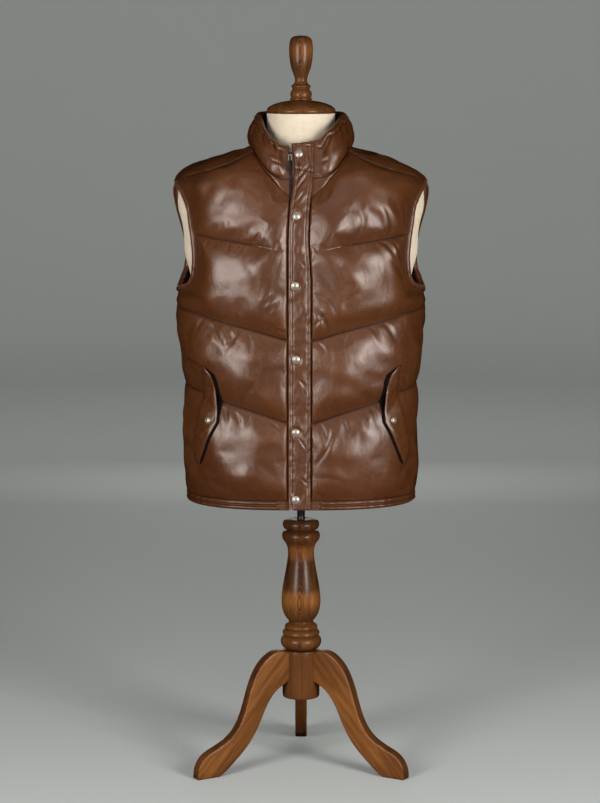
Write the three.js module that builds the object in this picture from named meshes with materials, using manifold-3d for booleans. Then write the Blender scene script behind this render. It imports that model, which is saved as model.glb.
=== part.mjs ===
// A padded leather vest on a limbless dress form with a turned wooden tripod stand.
// Millimetres, +Z up, the front towards -Y. A "turn" is the angle about the upright axis in
// degrees: 0 at the centre front, 90 at the left side seam (+X), 180 at the centre back.
import * as THREE from 'three';
import { mergeVertices } from 'three/addons/utils/BufferGeometryUtils.js';
import Module from 'manifold-3d';

const wasm = await Module();
wasm.setup();

// ---- driving sizes
const seamGap = 0.3;
const padding = { seam: 5, crown: 17, reach: 58, sideFrom: 0.7, sideShare: 0.45, sideSeam: 8.5 };
const hem = { bottom: 500, top: 517, seam: 5, ridge: 9, flat: 18 };
const zip = { x: -17.5, width: 7, low: 2.8, thick: 2.6, top: 1128 };
const binding = { width: 7, thick: 2.4, steps: 56, reach: 90 };
const placket = { thick: 5.5, lift: 0.9, edge: 3, bottom: 504, top: 1143, rows: 30 };
const flap = { thick: 4.5, lift: 0.8, low: 9, high: 20, steps: 14, across: 4 };
const collar = { seam: 5, channel: 9, roll: 16.5, crest: 0.45, flat: 11, fade: 18, columns: 36 };
const snap = { radius: 7.2, height: 3.2, flapRadius: 5.6, segments: 11 };
const slider = {
  z: 1119, half: 3.6, length: 11, thick: 2.6, reach: 6.2, cheekIn: 1.6, cheek: 1, cheekHalf: 1.8,
  pin: 0.8, pinY: -4.6, pinZ: 1.5,
};
const pull = { width: 5, length: 27, thick: 1.2, head: 1.3, eye: 1.5, play: 0.3 };
const form = {
  bottom: 560, edge: 6, slack: 17, rest: 0.5, frontSlack: 15, loose: 980, snug: 1070, columns: 30,
  neck: 61, neckLow: 1098, neckHigh: 1148, neckTop: 1196,
};
const pole = { radius: 7.2, top: 700, bottom: 240, bore: 7.6, segments: 20 };
const leg = { thick: 22, bevel: 3, count: 3, turn: 60 };

// the plain inner face of the vest, level by level
const levels = [
  { z: 500, half: 199, front: 136, back: 131, square: 2.5 },
  { z: 572, half: 198, front: 134, back: 129, square: 2.5 },
  { z: 660, half: 199, front: 134, back: 129, square: 2.5 },
  { z: 718, half: 200, front: 134, back: 129, square: 2.5 },
  { z: 762, half: 203, front: 135, back: 130, square: 2.5 },
  { z: 806, half: 208, front: 136, back: 131, square: 2.5 },
  { z: 835, half: 213, front: 136, back: 133, square: 2.5 },
  { z: 862, half: 217, front: 137, back: 136, square: 2.5 },
  { z: 879, half: 216, front: 137, back: 137, square: 2.5 },
  { z: 940, half: 217, front: 138, back: 138, square: 2.5 },
  { z: 1000, half: 219, front: 133, back: 135, square: 2.5 },
  { z: 1030, half: 220, front: 126, back: 130, square: 2.5 },
  { z: 1055, half: 221, front: 118, back: 123, square: 2.45 },
  { z: 1073, half: 220, front: 111, back: 117, square: 2.4 },
  { z: 1083, half: 209, front: 107, back: 112, square: 2.4 },
  { z: 1094, half: 181, front: 102, back: 107, square: 2.35 },
  { z: 1105, half: 149, front: 97, back: 101, square: 2.3 },
  { z: 1115, half: 121, front: 93, back: 95, square: 2.25 },
  { z: 1125, half: 98, front: 89, back: 90, square: 2.2 },
  { z: 1135, half: 83, front: 86, back: 86, square: 2.1 },
  { z: 1150, half: 76, front: 82, back: 82, square: 2.1 },
];

// quilting seams: height at each turn, the same chevrons on front and back
const seams = [
  { turn: 0, low: 651, middle: 799, high: 955 },
  { turn: 11, low: 657, middle: 804, high: 959 },
  { turn: 30, low: 673, middle: 818, high: 969 },
  { turn: 53, low: 693, middle: 836, high: 980 },
  { turn: 66, low: 707, middle: 848, high: 987 },
  { turn: 90, low: 716, middle: 858, high: 994 },
];

// the neckline, where the collar is sewn on
const neckline = [
  { turn: 0, z: 1047 },
  { turn: 8, z: 1052 },
  { turn: 17, z: 1065 },
  { turn: 30, z: 1090 },
  { turn: 45, z: 1116 },
  { turn: 60, z: 1129 },
  { turn: 90, z: 1131 },
  { turn: 180, z: 1138 },
];

// the seam between the collar's lower channel and its roll, as a share of its height
const collarSeam = [
  { turn: 0, share: 0.38 },
  { turn: 9, share: 0.35 },
  { turn: 18, share: 0.25 },
  { turn: 30, share: 0.08 },
  { turn: 60, share: 0.06 },
  { turn: 180, share: 0.06 },
];

// the collar's upper rim on the wearer's right (-X) and left (+X), and its inner radii
const rim = [
  { turn: 0, right: 1143, left: 1144, reach: 88 },
  { turn: 20, right: 1138, left: 1149, reach: 86 },
  { turn: 35, right: 1145, left: 1162, reach: 83 },
  { turn: 50, right: 1160, left: 1174, reach: 77 },
  { turn: 70, right: 1182, left: 1187, reach: 72 },
  { turn: 90, right: 1190, left: 1190, reach: 70 },
  { turn: 135, right: 1193, left: 1193, reach: 73 },
  { turn: 180, right: 1194, left: 1194, reach: 76 },
];

// the armhole: the turn where the front and the back end at each level
const armhole = [
  { z: 877, front: 90, back: 90 },
  { z: 881, front: 84, back: 94 },
  { z: 887, front: 74, back: 99 },
  { z: 897, front: 67.5, back: 103 },
  { z: 913, front: 64.8, back: 107 },
  { z: 946, front: 63.6, back: 109 },
  { z: 975, front: 64.6, back: 107 },
  { z: 1000, front: 66.2, back: 104 },
  { z: 1031, front: 68.7, back: 98 },
  { z: 1051, front: 72.5, back: 93 },
  { z: 1066, front: 77, back: 87 },
  { z: 1075, front: 82, back: 82 },
];

// the shoulder seam, from the tip of the shoulder to the neck
const shoulderSeam = [
  { z: 1075, turn: 82 },
  { z: 1083, turn: 76 },
  { z: 1093, turn: 70 },
  { z: 1105, turn: 65 },
  { z: 1116, turn: 62 },
  { z: 1129, turn: 60 },
];

// the fly front over the zip, from hem to collar: its two edges
const placketEdges = [
  { z: 500, right: -22.5, left: 17 },
  { z: 900, right: -22.5, left: 17 },
  { z: 985, right: -22, left: 13 },
  { z: 1040, right: -19, left: 16 },
  { z: 1075, right: -13, left: 20 },
  { z: 1100, right: -10.5, left: 21 },
  { z: 1125, right: -12, left: 21.5 },
  { z: 1143, right: -15, left: 22 },
];

const snaps = [
  { z: 521, x: -9 },
  { z: 641, x: -9 },
  { z: 770, x: -8 },
  { z: 900, x: -10.5 },
  { z: 1018, x: -8 },
  { z: 1125, x: -2 },
];

// a pocket flap: its sewn edge and its free, pointed edge, from top to bottom
const flapEdges = [
  { z: 757, sewn: 59.5, free: 58 },
  { z: 745, sewn: 60, free: 55 },
  { z: 700, sewn: 62.5, free: 53.4 },
  { z: 659, sewn: 65, free: 51.8 },
  { z: 625, sewn: 66.5, free: 57.5 },
  { z: 582, sewn: 68, free: 63.5 },
].reverse();
const flapSnap = { share: 0.6, z: 660 };

// turned profiles, radius and height
const finialProfile = [
  [0, 1225], [20, 1225], [20.5, 1229], [17.5, 1232.5], [18.8, 1236], [18.8, 1241], [15, 1246], [12.5, 1253],
  [12.5, 1262], [14.5, 1268], [18.2, 1275], [18.6, 1279], [18.6, 1284], [20.8, 1291], [21.6, 1302],
  [21.2, 1316], [19.6, 1325], [15, 1330.5], [8, 1333], [0, 1333.5],
];
const capProfile = [
  [0, 1196.6], [58, 1196.6], [61.5, 1199], [61.5, 1203.5], [59, 1208], [52, 1213.5], [41, 1219], [28, 1223],
  [20, 1224.7], [0, 1224.7],
];
const columnProfile = [
  [30, 460], [33.4, 455], [32.6, 446], [28.4, 441], [33.8, 436], [34.4, 426], [28.4, 416.5], [24.6, 402],
  [24.6, 386], [28.4, 362], [33.4, 333], [36, 307], [34.6, 288], [29.6, 275], [24.2, 264], [30.2, 256],
  [32, 250], [30.6, 248], [34.6, 243], [33.4, 236], [37.4, 230], [36, 219.6], [32, 216.4],
];
const hub = { radius: 34, top: 216, bottom: 126, chamfer: 3 };

// a leg's outline in its own plane: distance from the axis, height
const legOutline = [
  [30, 212], [48, 214], [66, 209], [84, 197], [98, 180], [109, 157], [117, 131], [126, 104], [138, 82],
  [156, 65], [179, 54], [200, 45], [212, 34], [220, 18], [221, 0], [176, 0], [160, 10], [143, 25], [124, 42],
  [107, 62], [93, 86], [82, 110], [71, 130], [57, 146], [42, 155], [30, 160],
];

const leather = { color: 0x4c2a1b, roughness: 0.42, metalness: 0 };
const darkLeather = { color: 0x3a2015, roughness: 0.45, metalness: 0 };
const nickel = { color: 0xb7ab9a, roughness: 0.3, metalness: 1 };
const linen = { color: 0xded0b6, roughness: 0.9, metalness: 0 };
const walnut = { color: 0x4a2814, roughness: 0.35, metalness: 0 };
const steel = { color: 0x2b2725, roughness: 0.35, metalness: 1 };

// ---- curves and surfaces

// a smooth curve through a table's column that never overshoots its rows
function track(rows, column, by = 'z') {
  const at = rows.map((row) => row[by]);
  const value = rows.map((row) => row[column]);
  const rise = at.slice(1).map((x, i) => (value[i + 1] - value[i]) / (x - at[i]));
  const slope = at.map((_, i) => {
    const before = rise[Math.max(i - 1, 0)];
    const after = rise[Math.min(i, rise.length - 1)];
    return before * after <= 0 ? 0 : (2 * before * after) / (before + after);
  });
  return (x) => {
    const clamped = Math.min(Math.max(x, at[0]), at[at.length - 1]);
    let i = 0;
    while (i < rise.length - 1 && clamped > at[i + 1]) i += 1;
    const span = at[i + 1] - at[i];
    const t = (clamped - at[i]) / span;
    const s = 1 - t;
    return value[i] * (1 + 2 * t) * s * s + value[i + 1] * t * t * (3 - 2 * t)
      + span * t * s * (slope[i] * s - slope[i + 1] * t);
  };
}

const half = track(levels, 'half');
const frontDepth = track(levels, 'front');
const backDepth = track(levels, 'back');
const square = track(levels, 'square');
const necklineZ = track(neckline, 'z', 'turn');
const rimReach = track(rim, 'reach', 'turn');
const rimRight = track(rim, 'right', 'turn');
const rimLeft = track(rim, 'left', 'turn');
const armholeFront = track(armhole, 'front');
const armholeBack = track(armhole, 'back');
const shoulderTurn = track(shoulderSeam, 'turn');
const placketRight = track(placketEdges, 'right');
const placketLeft = track(placketEdges, 'left');
const seamZ = ['low', 'middle', 'high'].map((column) => track(seams, column, 'turn'));

const armpit = armhole[0].z;
const shoulderTip = shoulderSeam[0].z;
const shoulderNeck = shoulderSeam[shoulderSeam.length - 1].z;
const frontEdge = (z) => (z > shoulderTip ? shoulderTurn(z) : armholeFront(z));
const backEdge = (z) => (z > shoulderTip ? shoulderTurn(z) : armholeBack(z));

const mix = THREE.MathUtils.lerp;
const smooth = THREE.MathUtils.smoothstep;
const folded = (turn) => Math.abs(THREE.MathUtils.euclideanModulo(turn + 180, 360) - 180);
const fromCentre = (turn) => Math.min(folded(turn), 180 - folded(turn));
const rimZ = (turn) => {
  const right = THREE.MathUtils.euclideanModulo(turn + 180, 360) < 180;
  return (right ? rimRight : rimLeft)(folded(turn));
};

function bodyPoint(turn, z) {
  const angle = THREE.MathUtils.degToRad(turn);
  const depth = Math.cos(angle) > 0 ? frontDepth(z) : backDepth(z);
  const power = square(z);
  const along = Math.abs(Math.cos(angle) / depth) ** power + Math.abs(Math.sin(angle) / half(z)) ** power;
  const reach = along ** (-1 / power);
  return new THREE.Vector3(reach * Math.sin(angle), -reach * Math.cos(angle), z);
}

function turnAtX(x, z) {
  const power = square(z);
  const y = frontDepth(z) * (1 - Math.abs(x / half(z)) ** power) ** (1 / power);
  return THREE.MathUtils.radToDeg(Math.atan2(x, y));
}

// the outward normal of a surface given as a function of turn and a second value
function normalOf(surface, turn, v, step) {
  const across = surface(turn + 0.5, v).sub(surface(turn - 0.5, v));
  const up = surface(turn, v + step).sub(surface(turn, v - step));
  return across.cross(up).normalize();
}
const bodyNormal = (turn, z) => normalOf(bodyPoint, turn, z, 0.5);

// the collar's inner face: from the neckline (0) to the rim (1)
function collarPoint(turn, height) {
  const base = bodyPoint(turn, necklineZ(folded(turn)) + 2 * seamGap);
  const angle = THREE.MathUtils.degToRad(turn);
  const reach = rimReach(folded(turn));
  const top = new THREE.Vector3(reach * Math.sin(angle), -reach * Math.cos(angle), rimZ(turn));
  return base.lerp(top, height);
}
const collarNormal = (turn, height) => normalOf(collarPoint, turn, height, 0.02);

const line = (count, at) => Array.from({ length: count + 1 }, (_, i) => at(i / count));

function distanceTo(point, polyline) {
  const nearest = new THREE.Vector3();
  const segment = new THREE.Line3();
  let least = Infinity;
  for (let i = 1; i < polyline.length; i += 1) {
    segment.set(polyline[i - 1], polyline[i]).closestPointToPoint(point, true, nearest);
    least = Math.min(least, nearest.distanceTo(point));
  }
  return least;
}

// ---- where the padding is sewn down

const seamLines = [];
for (const side of [1, -1]) {
  for (const height of seamZ) {
    seamLines.push({
      flat: 0,
      points: line(60, (t) => bodyPoint(side * t * 180, height(fromCentre(side * t * 180)))),
    });
  }
  seamLines.push({ flat: 0, points: line(60, (t) => bodyPoint(side * t * 180, hem.top)) });
  seamLines.push({ flat: 0, points: line(60, (t) => bodyPoint(side * t * 180, necklineZ(t * 180))) });
  seamLines.push({ flat: 0, points: line(12, (t) => bodyPoint(side * 90, mix(hem.top, armpit, t))) });
  for (const edge of [frontEdge, backEdge]) {
    const span = (t) => mix(armpit, shoulderTip, t);
    seamLines.push({
      flat: binding.width,
      points: line(40, (t) => bodyPoint(side * edge(span(t)), span(t))),
    });
  }
  const above = (t) => mix(shoulderTip, shoulderNeck, t);
  seamLines.push({ flat: 0, points: line(16, (t) => bodyPoint(side * frontEdge(above(t)), above(t))) });
}
for (const edge of [placketRight, placketLeft]) {
  const margin = edge === placketLeft ? placket.edge : -placket.edge;
  const level = (t) => mix(hem.top, necklineZ(0), t);
  seamLines.push({
    flat: 0,
    points: line(24, (t) => bodyPoint(turnAtX(edge(level(t)) + margin, level(t)), level(t))),
  });
}

// how far a point of the front lies outside the fly front
function fromPlacket(point) {
  if (point.y > 0) return Infinity;
  return Math.max(placketRight(point.z) - point.x, point.x - placketLeft(point.z));
}

function padThickness(point) {
  if (fromPlacket(point) < placket.edge) return padding.seam;
  const away = seamLines.map(({ flat, points }) => Math.max(distanceTo(point, points) - flat, 0));
  const near = Math.min(1, Math.min(...away) / padding.reach);
  const aside = smooth(Math.abs(point.x) / half(point.z), padding.sideFrom, 1);
  const below = 1 - smooth(point.z, armpit - 50, armpit);
  const base = mix(padding.seam, padding.sideSeam, aside * below);
  return base + padding.crown * mix(1, padding.sideShare, aside) * (1 - (1 - near) ** 2.1);
}

function padPoint(turn, z, lift = 0) {
  const point = bodyPoint(turn, z);
  const thickness = padThickness(point);
  return point.addScaledVector(bodyNormal(turn, z), thickness + lift);
}

// ---- solids

function geometryOf(positions, index) {
  const geometry = new THREE.BufferGeometry();
  geometry.setAttribute('position', new THREE.Float32BufferAttribute(positions.flatMap((p) => [p.x, p.y, p.z]), 3));
  geometry.setIndex(index);
  return geometry;
}

// a wall between two grids of points, rows from bottom to top and columns anticlockwise from above
function wallGeometry(outer, inner, closed = false) {
  const rows = outer.length;
  const columns = outer[0].length;
  const points = [...outer.flat(), ...inner.flat()];
  const index = [];
  const quad = (a, b, c, d) => index.push(a, b, c, a, c, d);
  const out = (row, column) => row * columns + (column % columns);
  const into = (row, column) => rows * columns + out(row, column);
  const lastColumn = closed ? columns : columns - 1;
  for (let column = 0; column < lastColumn; column += 1) {
    for (let row = 0; row < rows - 1; row += 1) {
      quad(out(row, column), out(row, column + 1), out(row + 1, column + 1), out(row + 1, column));
      quad(into(row, column), into(row + 1, column), into(row + 1, column + 1), into(row, column + 1));
    }
    quad(out(0, column), into(0, column), into(0, column + 1), out(0, column + 1));
    quad(out(rows - 1, column), out(rows - 1, column + 1), into(rows - 1, column + 1), into(rows - 1, column));
  }
  if (!closed) {
    for (let row = 0; row < rows - 1; row += 1) {
      quad(out(row, 0), out(row + 1, 0), into(row + 1, 0), into(row, 0));
      quad(out(row, columns - 1), into(row, columns - 1), into(row + 1, columns - 1), out(row + 1, columns - 1));
    }
  }
  return geometryOf(points, index);
}

function turned(profile, segments) {
  const geometry = new THREE.LatheGeometry(profile.map(([radius, z]) => new THREE.Vector2(radius, z)), segments);
  geometry.rotateX(Math.PI / 2);
  return geometry;
}

function merged(geometry) {
  const bare = geometry.index ? geometry.clone() : geometry;
  bare.deleteAttribute('normal');
  bare.deleteAttribute('uv');
  return mergeVertices(bare, 1e-4);
}

function solidOf(geometry) {
  const mesh = merged(geometry);
  return new wasm.Manifold(new wasm.Mesh({
    numProp: 3,
    vertProperties: new Float32Array(mesh.getAttribute('position').array),
    triVerts: new Uint32Array(mesh.index.array),
  }));
}

function cut(geometry, ...tools) {
  const body = tools.reduce((rest, tool) => rest.subtract(solidOf(tool)), solidOf(geometry));
  const mesh = body.getMesh();
  const result = new THREE.BufferGeometry();
  result.setAttribute('position', new THREE.Float32BufferAttribute(mesh.vertProperties, 3));
  result.setIndex(Array.from(mesh.triVerts));
  return result;
}

const group = new THREE.Group();
function add(name, geometry, finish, parent = group) {
  const mesh = new THREE.Mesh(geometry, new THREE.MeshStandardMaterial(finish));
  mesh.name = name;
  parent.add(mesh);
  return mesh;
}

// ---- vest panels

// rows of a panel: each band between two seams, closer together where the shoulder turns over
const bands = [
  { rows: 4, crowd: 1 },
  { rows: 4, crowd: 1 },
  { rows: 5, crowd: 0.8 },
  { rows: 9, crowd: 1.9 },
];
const panelRows = bands.flatMap(({ rows, crowd }, band) => (
  Array.from({ length: rows }, (_, i) => ({ band, t: 1 - (1 - i / rows) ** crowd }))
));
panelRows.push({ band: bands.length - 1, t: 1 });

function bandHeight(band, turn) {
  const low = hem.top + seamGap;
  if (band === 0) return low;
  return band <= seamZ.length ? seamZ[band - 1](fromCentre(turn)) : necklineZ(folded(turn)) - seamGap;
}

// a panel over its rows, each column at the turn that turnOf(column, z) gives
function panelGeometry(turnOf, columnCount, inward = 0, outward = 0) {
  const settle = ({ band, t }, column) => {
    const at = { turn: turnOf(column, 800), z: 800 };
    for (let i = 0; i < 40; i += 1) {
      at.turn = mix(at.turn, turnOf(column, at.z), 0.5);
      at.z = mix(bandHeight(band, at.turn), bandHeight(band + 1, at.turn), t);
    }
    return at;
  };
  const columns = Array.from({ length: columnCount }, (_, i) => i);
  const places = panelRows.map((row) => columns.map((column) => settle(row, column)));
  const outer = places.map((row) => row.map(({ turn, z }) => padPoint(turn, z, outward)));
  const inner = places.map((row) => row.map(({ turn, z }) => (
    bodyPoint(turn, z).addScaledVector(bodyNormal(turn, z), -inward))));
  return wallGeometry(outer, inner);
}

// half the gap of a sewn edge as a turn, with room for the thickness leaning over it
const edgeGap = 0.35;
const frontColumns = 12;
function frontPanel(side) {
  const centreX = zip.x + side * zip.width / 4;
  const flyEdge = (z) => (side > 0 ? placketLeft(z) : placketRight(z)) + side * placket.edge;
  const turnOf = (step, z) => {
    if (step === 0) return turnAtX(centreX, z);
    return mix(turnAtX(flyEdge(z), z), side * (frontEdge(z) - edgeGap), (step - 1) / (frontColumns - 2));
  };
  const last = frontColumns - 1;
  return panelGeometry((column, z) => turnOf(side > 0 ? column : last - column, z), frontColumns);
}

const backColumns = 21;
const backTurn = (column, z) => {
  const start = backEdge(z) + edgeGap;
  return mix(start, 360 - start, column / (backColumns - 1));
};

// ---- armhole binding: a narrow strip round the cut edge

function armholeLoop(side) {
  const stops = binding.steps / 2;
  const level = (i) => mix(armpit, shoulderTip, (1 - Math.cos((Math.PI * i) / stops)) / 2);
  const forward = Array.from({ length: stops }, (_, i) => ({ edge: armholeFront, z: level(stops - i) }));
  const backward = Array.from({ length: stops }, (_, i) => ({ edge: armholeBack, z: level(i) }));
  return [...forward, ...backward].map(({ edge, z }) => ({ turn: side * edge(z), z }));
}

function bindingGeometry(side, start, end, heights) {
  const loop = armholeLoop(side);
  const points = loop.map(({ turn, z }) => bodyPoint(turn, z));
  const rails = points.map((point, i) => {
    const before = points[(i + points.length - 1) % points.length];
    const after = points[(i + 1) % points.length];
    const normal = bodyNormal(loop[i].turn, loop[i].z);
    const outward = after.clone().sub(before).cross(normal).normalize().multiplyScalar(-side);
    return { point, normal, outward };
  });
  const at = (distance, lift) => rails.map(({ point, normal, outward }) => (
    point.clone().addScaledVector(outward, distance).addScaledVector(normal, lift)));
  const far = heights.map((lift) => at(end, lift));
  const near = heights.map((lift) => at(start, lift));
  return side > 0 ? wallGeometry(near, far, true) : wallGeometry(far, near, true);
}
const bindingTop = padding.seam + binding.thick;
const bindingStrip = (side) => bindingGeometry(side, 0, binding.width, [0, bindingTop]);
const bindingSlot = (side) => bindingGeometry(side, -1, binding.width + 2 * seamGap, [-6, 0, bindingTop, 26]);

// the armhole seen from the side, to clear what the panels leave inside it
function armholePlug(side) {
  const loop = armholeLoop(side).map(({ turn, z }) => bodyPoint(turn, z));
  const shape = new THREE.Shape(loop.map(({ y, z }) => new THREE.Vector2(y, z)));
  const plug = new THREE.ExtrudeGeometry(shape, { depth: binding.reach, bevelEnabled: false });
  plug.rotateX(Math.PI / 2);
  plug.rotateZ(Math.PI / 2);
  plug.translate(side > 0 ? half(armpit) + 30 - binding.reach : -half(armpit) - 30, 0, 0);
  return plug;
}

// ---- the centre front: zip, hem, collar and fly front

// the turn at which the collar passes a given x, at a share of its height
function collarTurnAtX(x, height) {
  let turn = 0;
  for (let i = 0; i < 30; i += 1) {
    const point = collarPoint(turn, height);
    turn = mix(turn, THREE.MathUtils.radToDeg(Math.atan2(x, -point.y)), 0.5);
  }
  return turn;
}

// a point of the inner face at the centre front, on the body or up the collar
function frontFace(x, z) {
  const level = Math.min(z, necklineZ(0));
  if (z <= necklineZ(folded(turnAtX(x, level)))) return bodyPoint(turnAtX(x, z), z);
  let height = 0.5;
  for (let i = 0; i < 12; i += 1) {
    const turn = collarTurnAtX(x, height);
    const base = collarPoint(turn, 0);
    height = Math.max((z - base.z) / (collarPoint(turn, 1).z - base.z), 0);
  }
  return collarPoint(collarTurnAtX(x, height), height);
}

function frontPoint(x, z, lift) {
  const reach = 9;
  const up = frontFace(x, z + reach).sub(frontFace(x, z - reach));
  const across = frontFace(x + 2, z).sub(frontFace(x - 2, z));
  return frontFace(x, z).addScaledVector(across.cross(up).normalize(), lift);
}

// a strip up the centre front: its two edges, its levels and its lift over the inner face
function frontStrip(rightEdge, leftEdge, levelList, across, low, high) {
  const place = (z, column, lift) => (
    frontPoint(mix(rightEdge(z), leftEdge(z), column / (across - 1)), z, lift(column / (across - 1), z)));
  const columns = Array.from({ length: across }, (_, i) => i);
  const outer = levelList.map((z) => columns.map((column) => place(z, column, high)));
  const inner = levelList.map((z) => columns.map((column) => place(z, column, low)));
  return wallGeometry(outer, inner);
}

const zipLevels = line(26, (t) => mix(hem.bottom + 2, zip.top, t));
const zipHalf = zip.width / 2;
add('zip', frontStrip(() => zip.x - zipHalf, () => zip.x + zipHalf, zipLevels, 3,
  () => zip.low, () => zip.low + zip.thick), nickel);
const zipSlot = () => frontStrip(() => zip.x - zipHalf - 2.5 * seamGap, () => zip.x + zipHalf + 2.5 * seamGap,
  [hem.bottom - 5, ...zipLevels], 3, () => -6, () => 30);

const hemProfile = [
  { z: hem.bottom, out: hem.seam },
  { z: mix(hem.bottom, hem.top, 0.28), out: hem.ridge },
  { z: mix(hem.bottom, hem.top, 0.5), out: hem.seam + 1 },
  { z: mix(hem.bottom, hem.top, 0.72), out: hem.ridge },
  { z: hem.top, out: hem.seam },
];
const hemColumns = 45;
const hemTurn = (fraction, z) => {
  const start = turnAtX(zip.x + zipHalf + seamGap, z);
  const end = turnAtX(zip.x - zipHalf - seamGap, z) + 360;
  return mix(start, end, fraction);
};
const hemPoint = ({ z, out }, fraction) => {
  const turn = hemTurn(fraction, z);
  const point = bodyPoint(turn, z);
  const lift = fromPlacket(point) < hem.flat ? Math.min(out, hem.seam) : out;
  return point.addScaledVector(bodyNormal(turn, z), lift);
};
add('hem_band', wallGeometry(
  hemProfile.map((row) => line(hemColumns - 1, (t) => hemPoint(row, t))),
  hemProfile.map((row) => line(hemColumns - 1, (t) => bodyPoint(hemTurn(t, row.z), row.z))),
), leather);

const collarSeamShare = track(collarSeam, 'share', 'turn');
function collarThickness(turn, height, point) {
  const seam = collarSeamShare(folded(turn));
  const low = (collar.channel - collar.seam) * Math.sin((Math.PI * Math.min(height, seam)) / seam) ** 0.8;
  const up = Math.max(height - seam, 0) / (1 - seam);
  const arc = up < collar.crest ? (up / collar.crest) * 90 : 90 + ((up - collar.crest) / (1 - collar.crest)) * 66;
  const roll = (collar.roll - collar.seam) * Math.sin(THREE.MathUtils.degToRad(arc)) ** 0.8;
  const free = smooth(fromPlacket(point), collar.flat, collar.flat + collar.fade);
  return collar.seam + free * (height < seam ? low : roll);
}
const collarTurn = (column, height) => {
  const start = collarTurnAtX(zip.x + zipHalf + 2 * seamGap, height);
  const end = collarTurnAtX(zip.x - zipHalf - 2 * seamGap, height) + 360;
  return mix(start, end, column / (collar.columns - 1));
};
const collarShares = (turn) => {
  const seam = collarSeamShare(folded(turn));
  const low = [0, 0.5, 1].map((t) => t * seam);
  const up = [0.08, 0.2, 0.38, 0.58, 0.76, 0.9, 1].map((t) => mix(seam, 1, t));
  return [...low, ...up];
};
const collarWall = (thickness) => (
  collarShares(0).map((_, row) => line(collar.columns - 1, (t) => {
    const column = t * (collar.columns - 1);
    const height = collarShares(collarTurn(column, 0.5))[row];
    const turn = collarTurn(column, height);
    const point = collarPoint(turn, height);
    return point.addScaledVector(collarNormal(turn, height), thickness(turn, height, point));
  })));
add('collar', wallGeometry(collarWall(collarThickness), collarWall(() => 0)), leather);

// the collar a little larger and longer, to clear the panels' edge at the neckline
function collarSlot() {
  const outer = collarWall((turn, height, point) => collarThickness(turn, height, point) + 2 * seamGap);
  const inner = collarWall(() => -6);
  for (const wall of [outer, inner]) wall.unshift(wall[0].map((point) => point.clone().setZ(point.z - 2 * seamGap)));
  return wallGeometry(outer, inner);
}

const frontCutters = (side) => [zipSlot(), armholePlug(side), bindingSlot(side), collarSlot()];
const backCutters = [armholePlug(-1), bindingSlot(-1), armholePlug(1), bindingSlot(1), collarSlot()];
add('front_right', cut(frontPanel(-1), ...frontCutters(-1)), leather);
add('front_left', cut(frontPanel(1), ...frontCutters(1)), leather);
add('back', cut(panelGeometry(backTurn, backColumns), ...backCutters), leather);
add('binding_right', bindingStrip(-1), darkLeather);
add('binding_left', bindingStrip(1), darkLeather);

const placketLevels = line(placket.rows, (t) => mix(placket.bottom, placket.top, t));
const placketBase = padding.seam + placket.lift;
const placketCrown = (share) => placketBase + placket.thick - 1.6 * (2 * share - 1) ** 4;
add('placket', frontStrip(placketRight, placketLeft, placketLevels, 5,
  () => placketBase, placketCrown), leather);

// ---- snaps: a domed cap with a rolled edge

function snapGeometry(radius, height) {
  return turned([
    [0, 0], [radius * 0.94, 0], [radius, height * 0.4], [radius * 0.8, height * 0.62],
    [radius * 0.42, height], [0, height],
  ], snap.segments);
}

const upward = new THREE.Vector3(0, 0, 1);
function addSnap(name, radius, seat, normal) {
  const mesh = add(name, snapGeometry(radius, snap.height), nickel);
  mesh.position.copy(seat);
  mesh.quaternion.setFromUnitVectors(upward, normal);
}
snaps.forEach(({ z, x }, i) => {
  const top = placketBase + placket.thick;
  const seat = frontPoint(x, z, top + seamGap);
  addSnap(`snap_${i + 1}`, snap.radius, seat, seat.clone().sub(frontPoint(x, z, 0)).normalize());
});

// ---- pocket flaps

const flapBottom = flapEdges[0].z;
const flapTop = flapEdges[flapEdges.length - 1].z;
const flapSewn = track(flapEdges, 'sewn');
const flapFree = track(flapEdges, 'free');
function flapPoint(side, share, along, lift) {
  const z = mix(flapBottom, flapTop, along);
  const turn = side * mix(flapSewn(z), flapFree(z), share);
  const point = bodyPoint(turn, z);
  const under = Math.max(padThickness(point) + flap.lift, mix(flap.low, flap.high, share));
  return point.addScaledVector(bodyNormal(turn, z), under + lift);
}
for (const [name, side] of [['right', -1], ['left', 1]]) {
  const surface = (lift) => line(flap.steps, (along) => line(flap.across, (t) => (
    flapPoint(side, side > 0 ? 1 - t : t, along, lift(side > 0 ? 1 - t : t)))));
  const top = (share) => flap.thick - 1.2 * (2 * share - 1) ** 4;
  add(`pocket_flap_${name}`, wallGeometry(surface(top), surface(() => 0)), leather);
  const along = (flapSnap.z - flapBottom) / (flapTop - flapBottom);
  const step = 0.1;
  const at = (share, up) => flapPoint(side, share, up, flap.thick);
  const across = at(flapSnap.share - step, along).sub(at(flapSnap.share + step, along));
  const normal = across.cross(at(flapSnap.share, along + step).sub(at(flapSnap.share, along - step)));
  normal.normalize().multiplyScalar(side);
  const seat = at(flapSnap.share, along).addScaledVector(normal, 2 * seamGap);
  addSnap(`flap_snap_${name}`, snap.flapRadius, seat, normal);
}

// ---- the zip's slider and its pull tab, which hangs from the slider's pin

function boxBetween(low, high) {
  const geometry = new THREE.BoxGeometry(high.x - low.x, high.y - low.y, high.z - low.z);
  geometry.translate((high.x + low.x) / 2, (high.y + low.y) / 2, (high.z + low.z) / 2);
  return geometry;
}

function joined(...pieces) {
  const body = pieces.map(solidOf).reduce((all, piece) => all.add(piece));
  const mesh = body.getMesh();
  const result = new THREE.BufferGeometry();
  result.setAttribute('position', new THREE.Float32BufferAttribute(mesh.vertProperties, 3));
  result.setIndex(Array.from(mesh.triVerts));
  return result;
}

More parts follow.
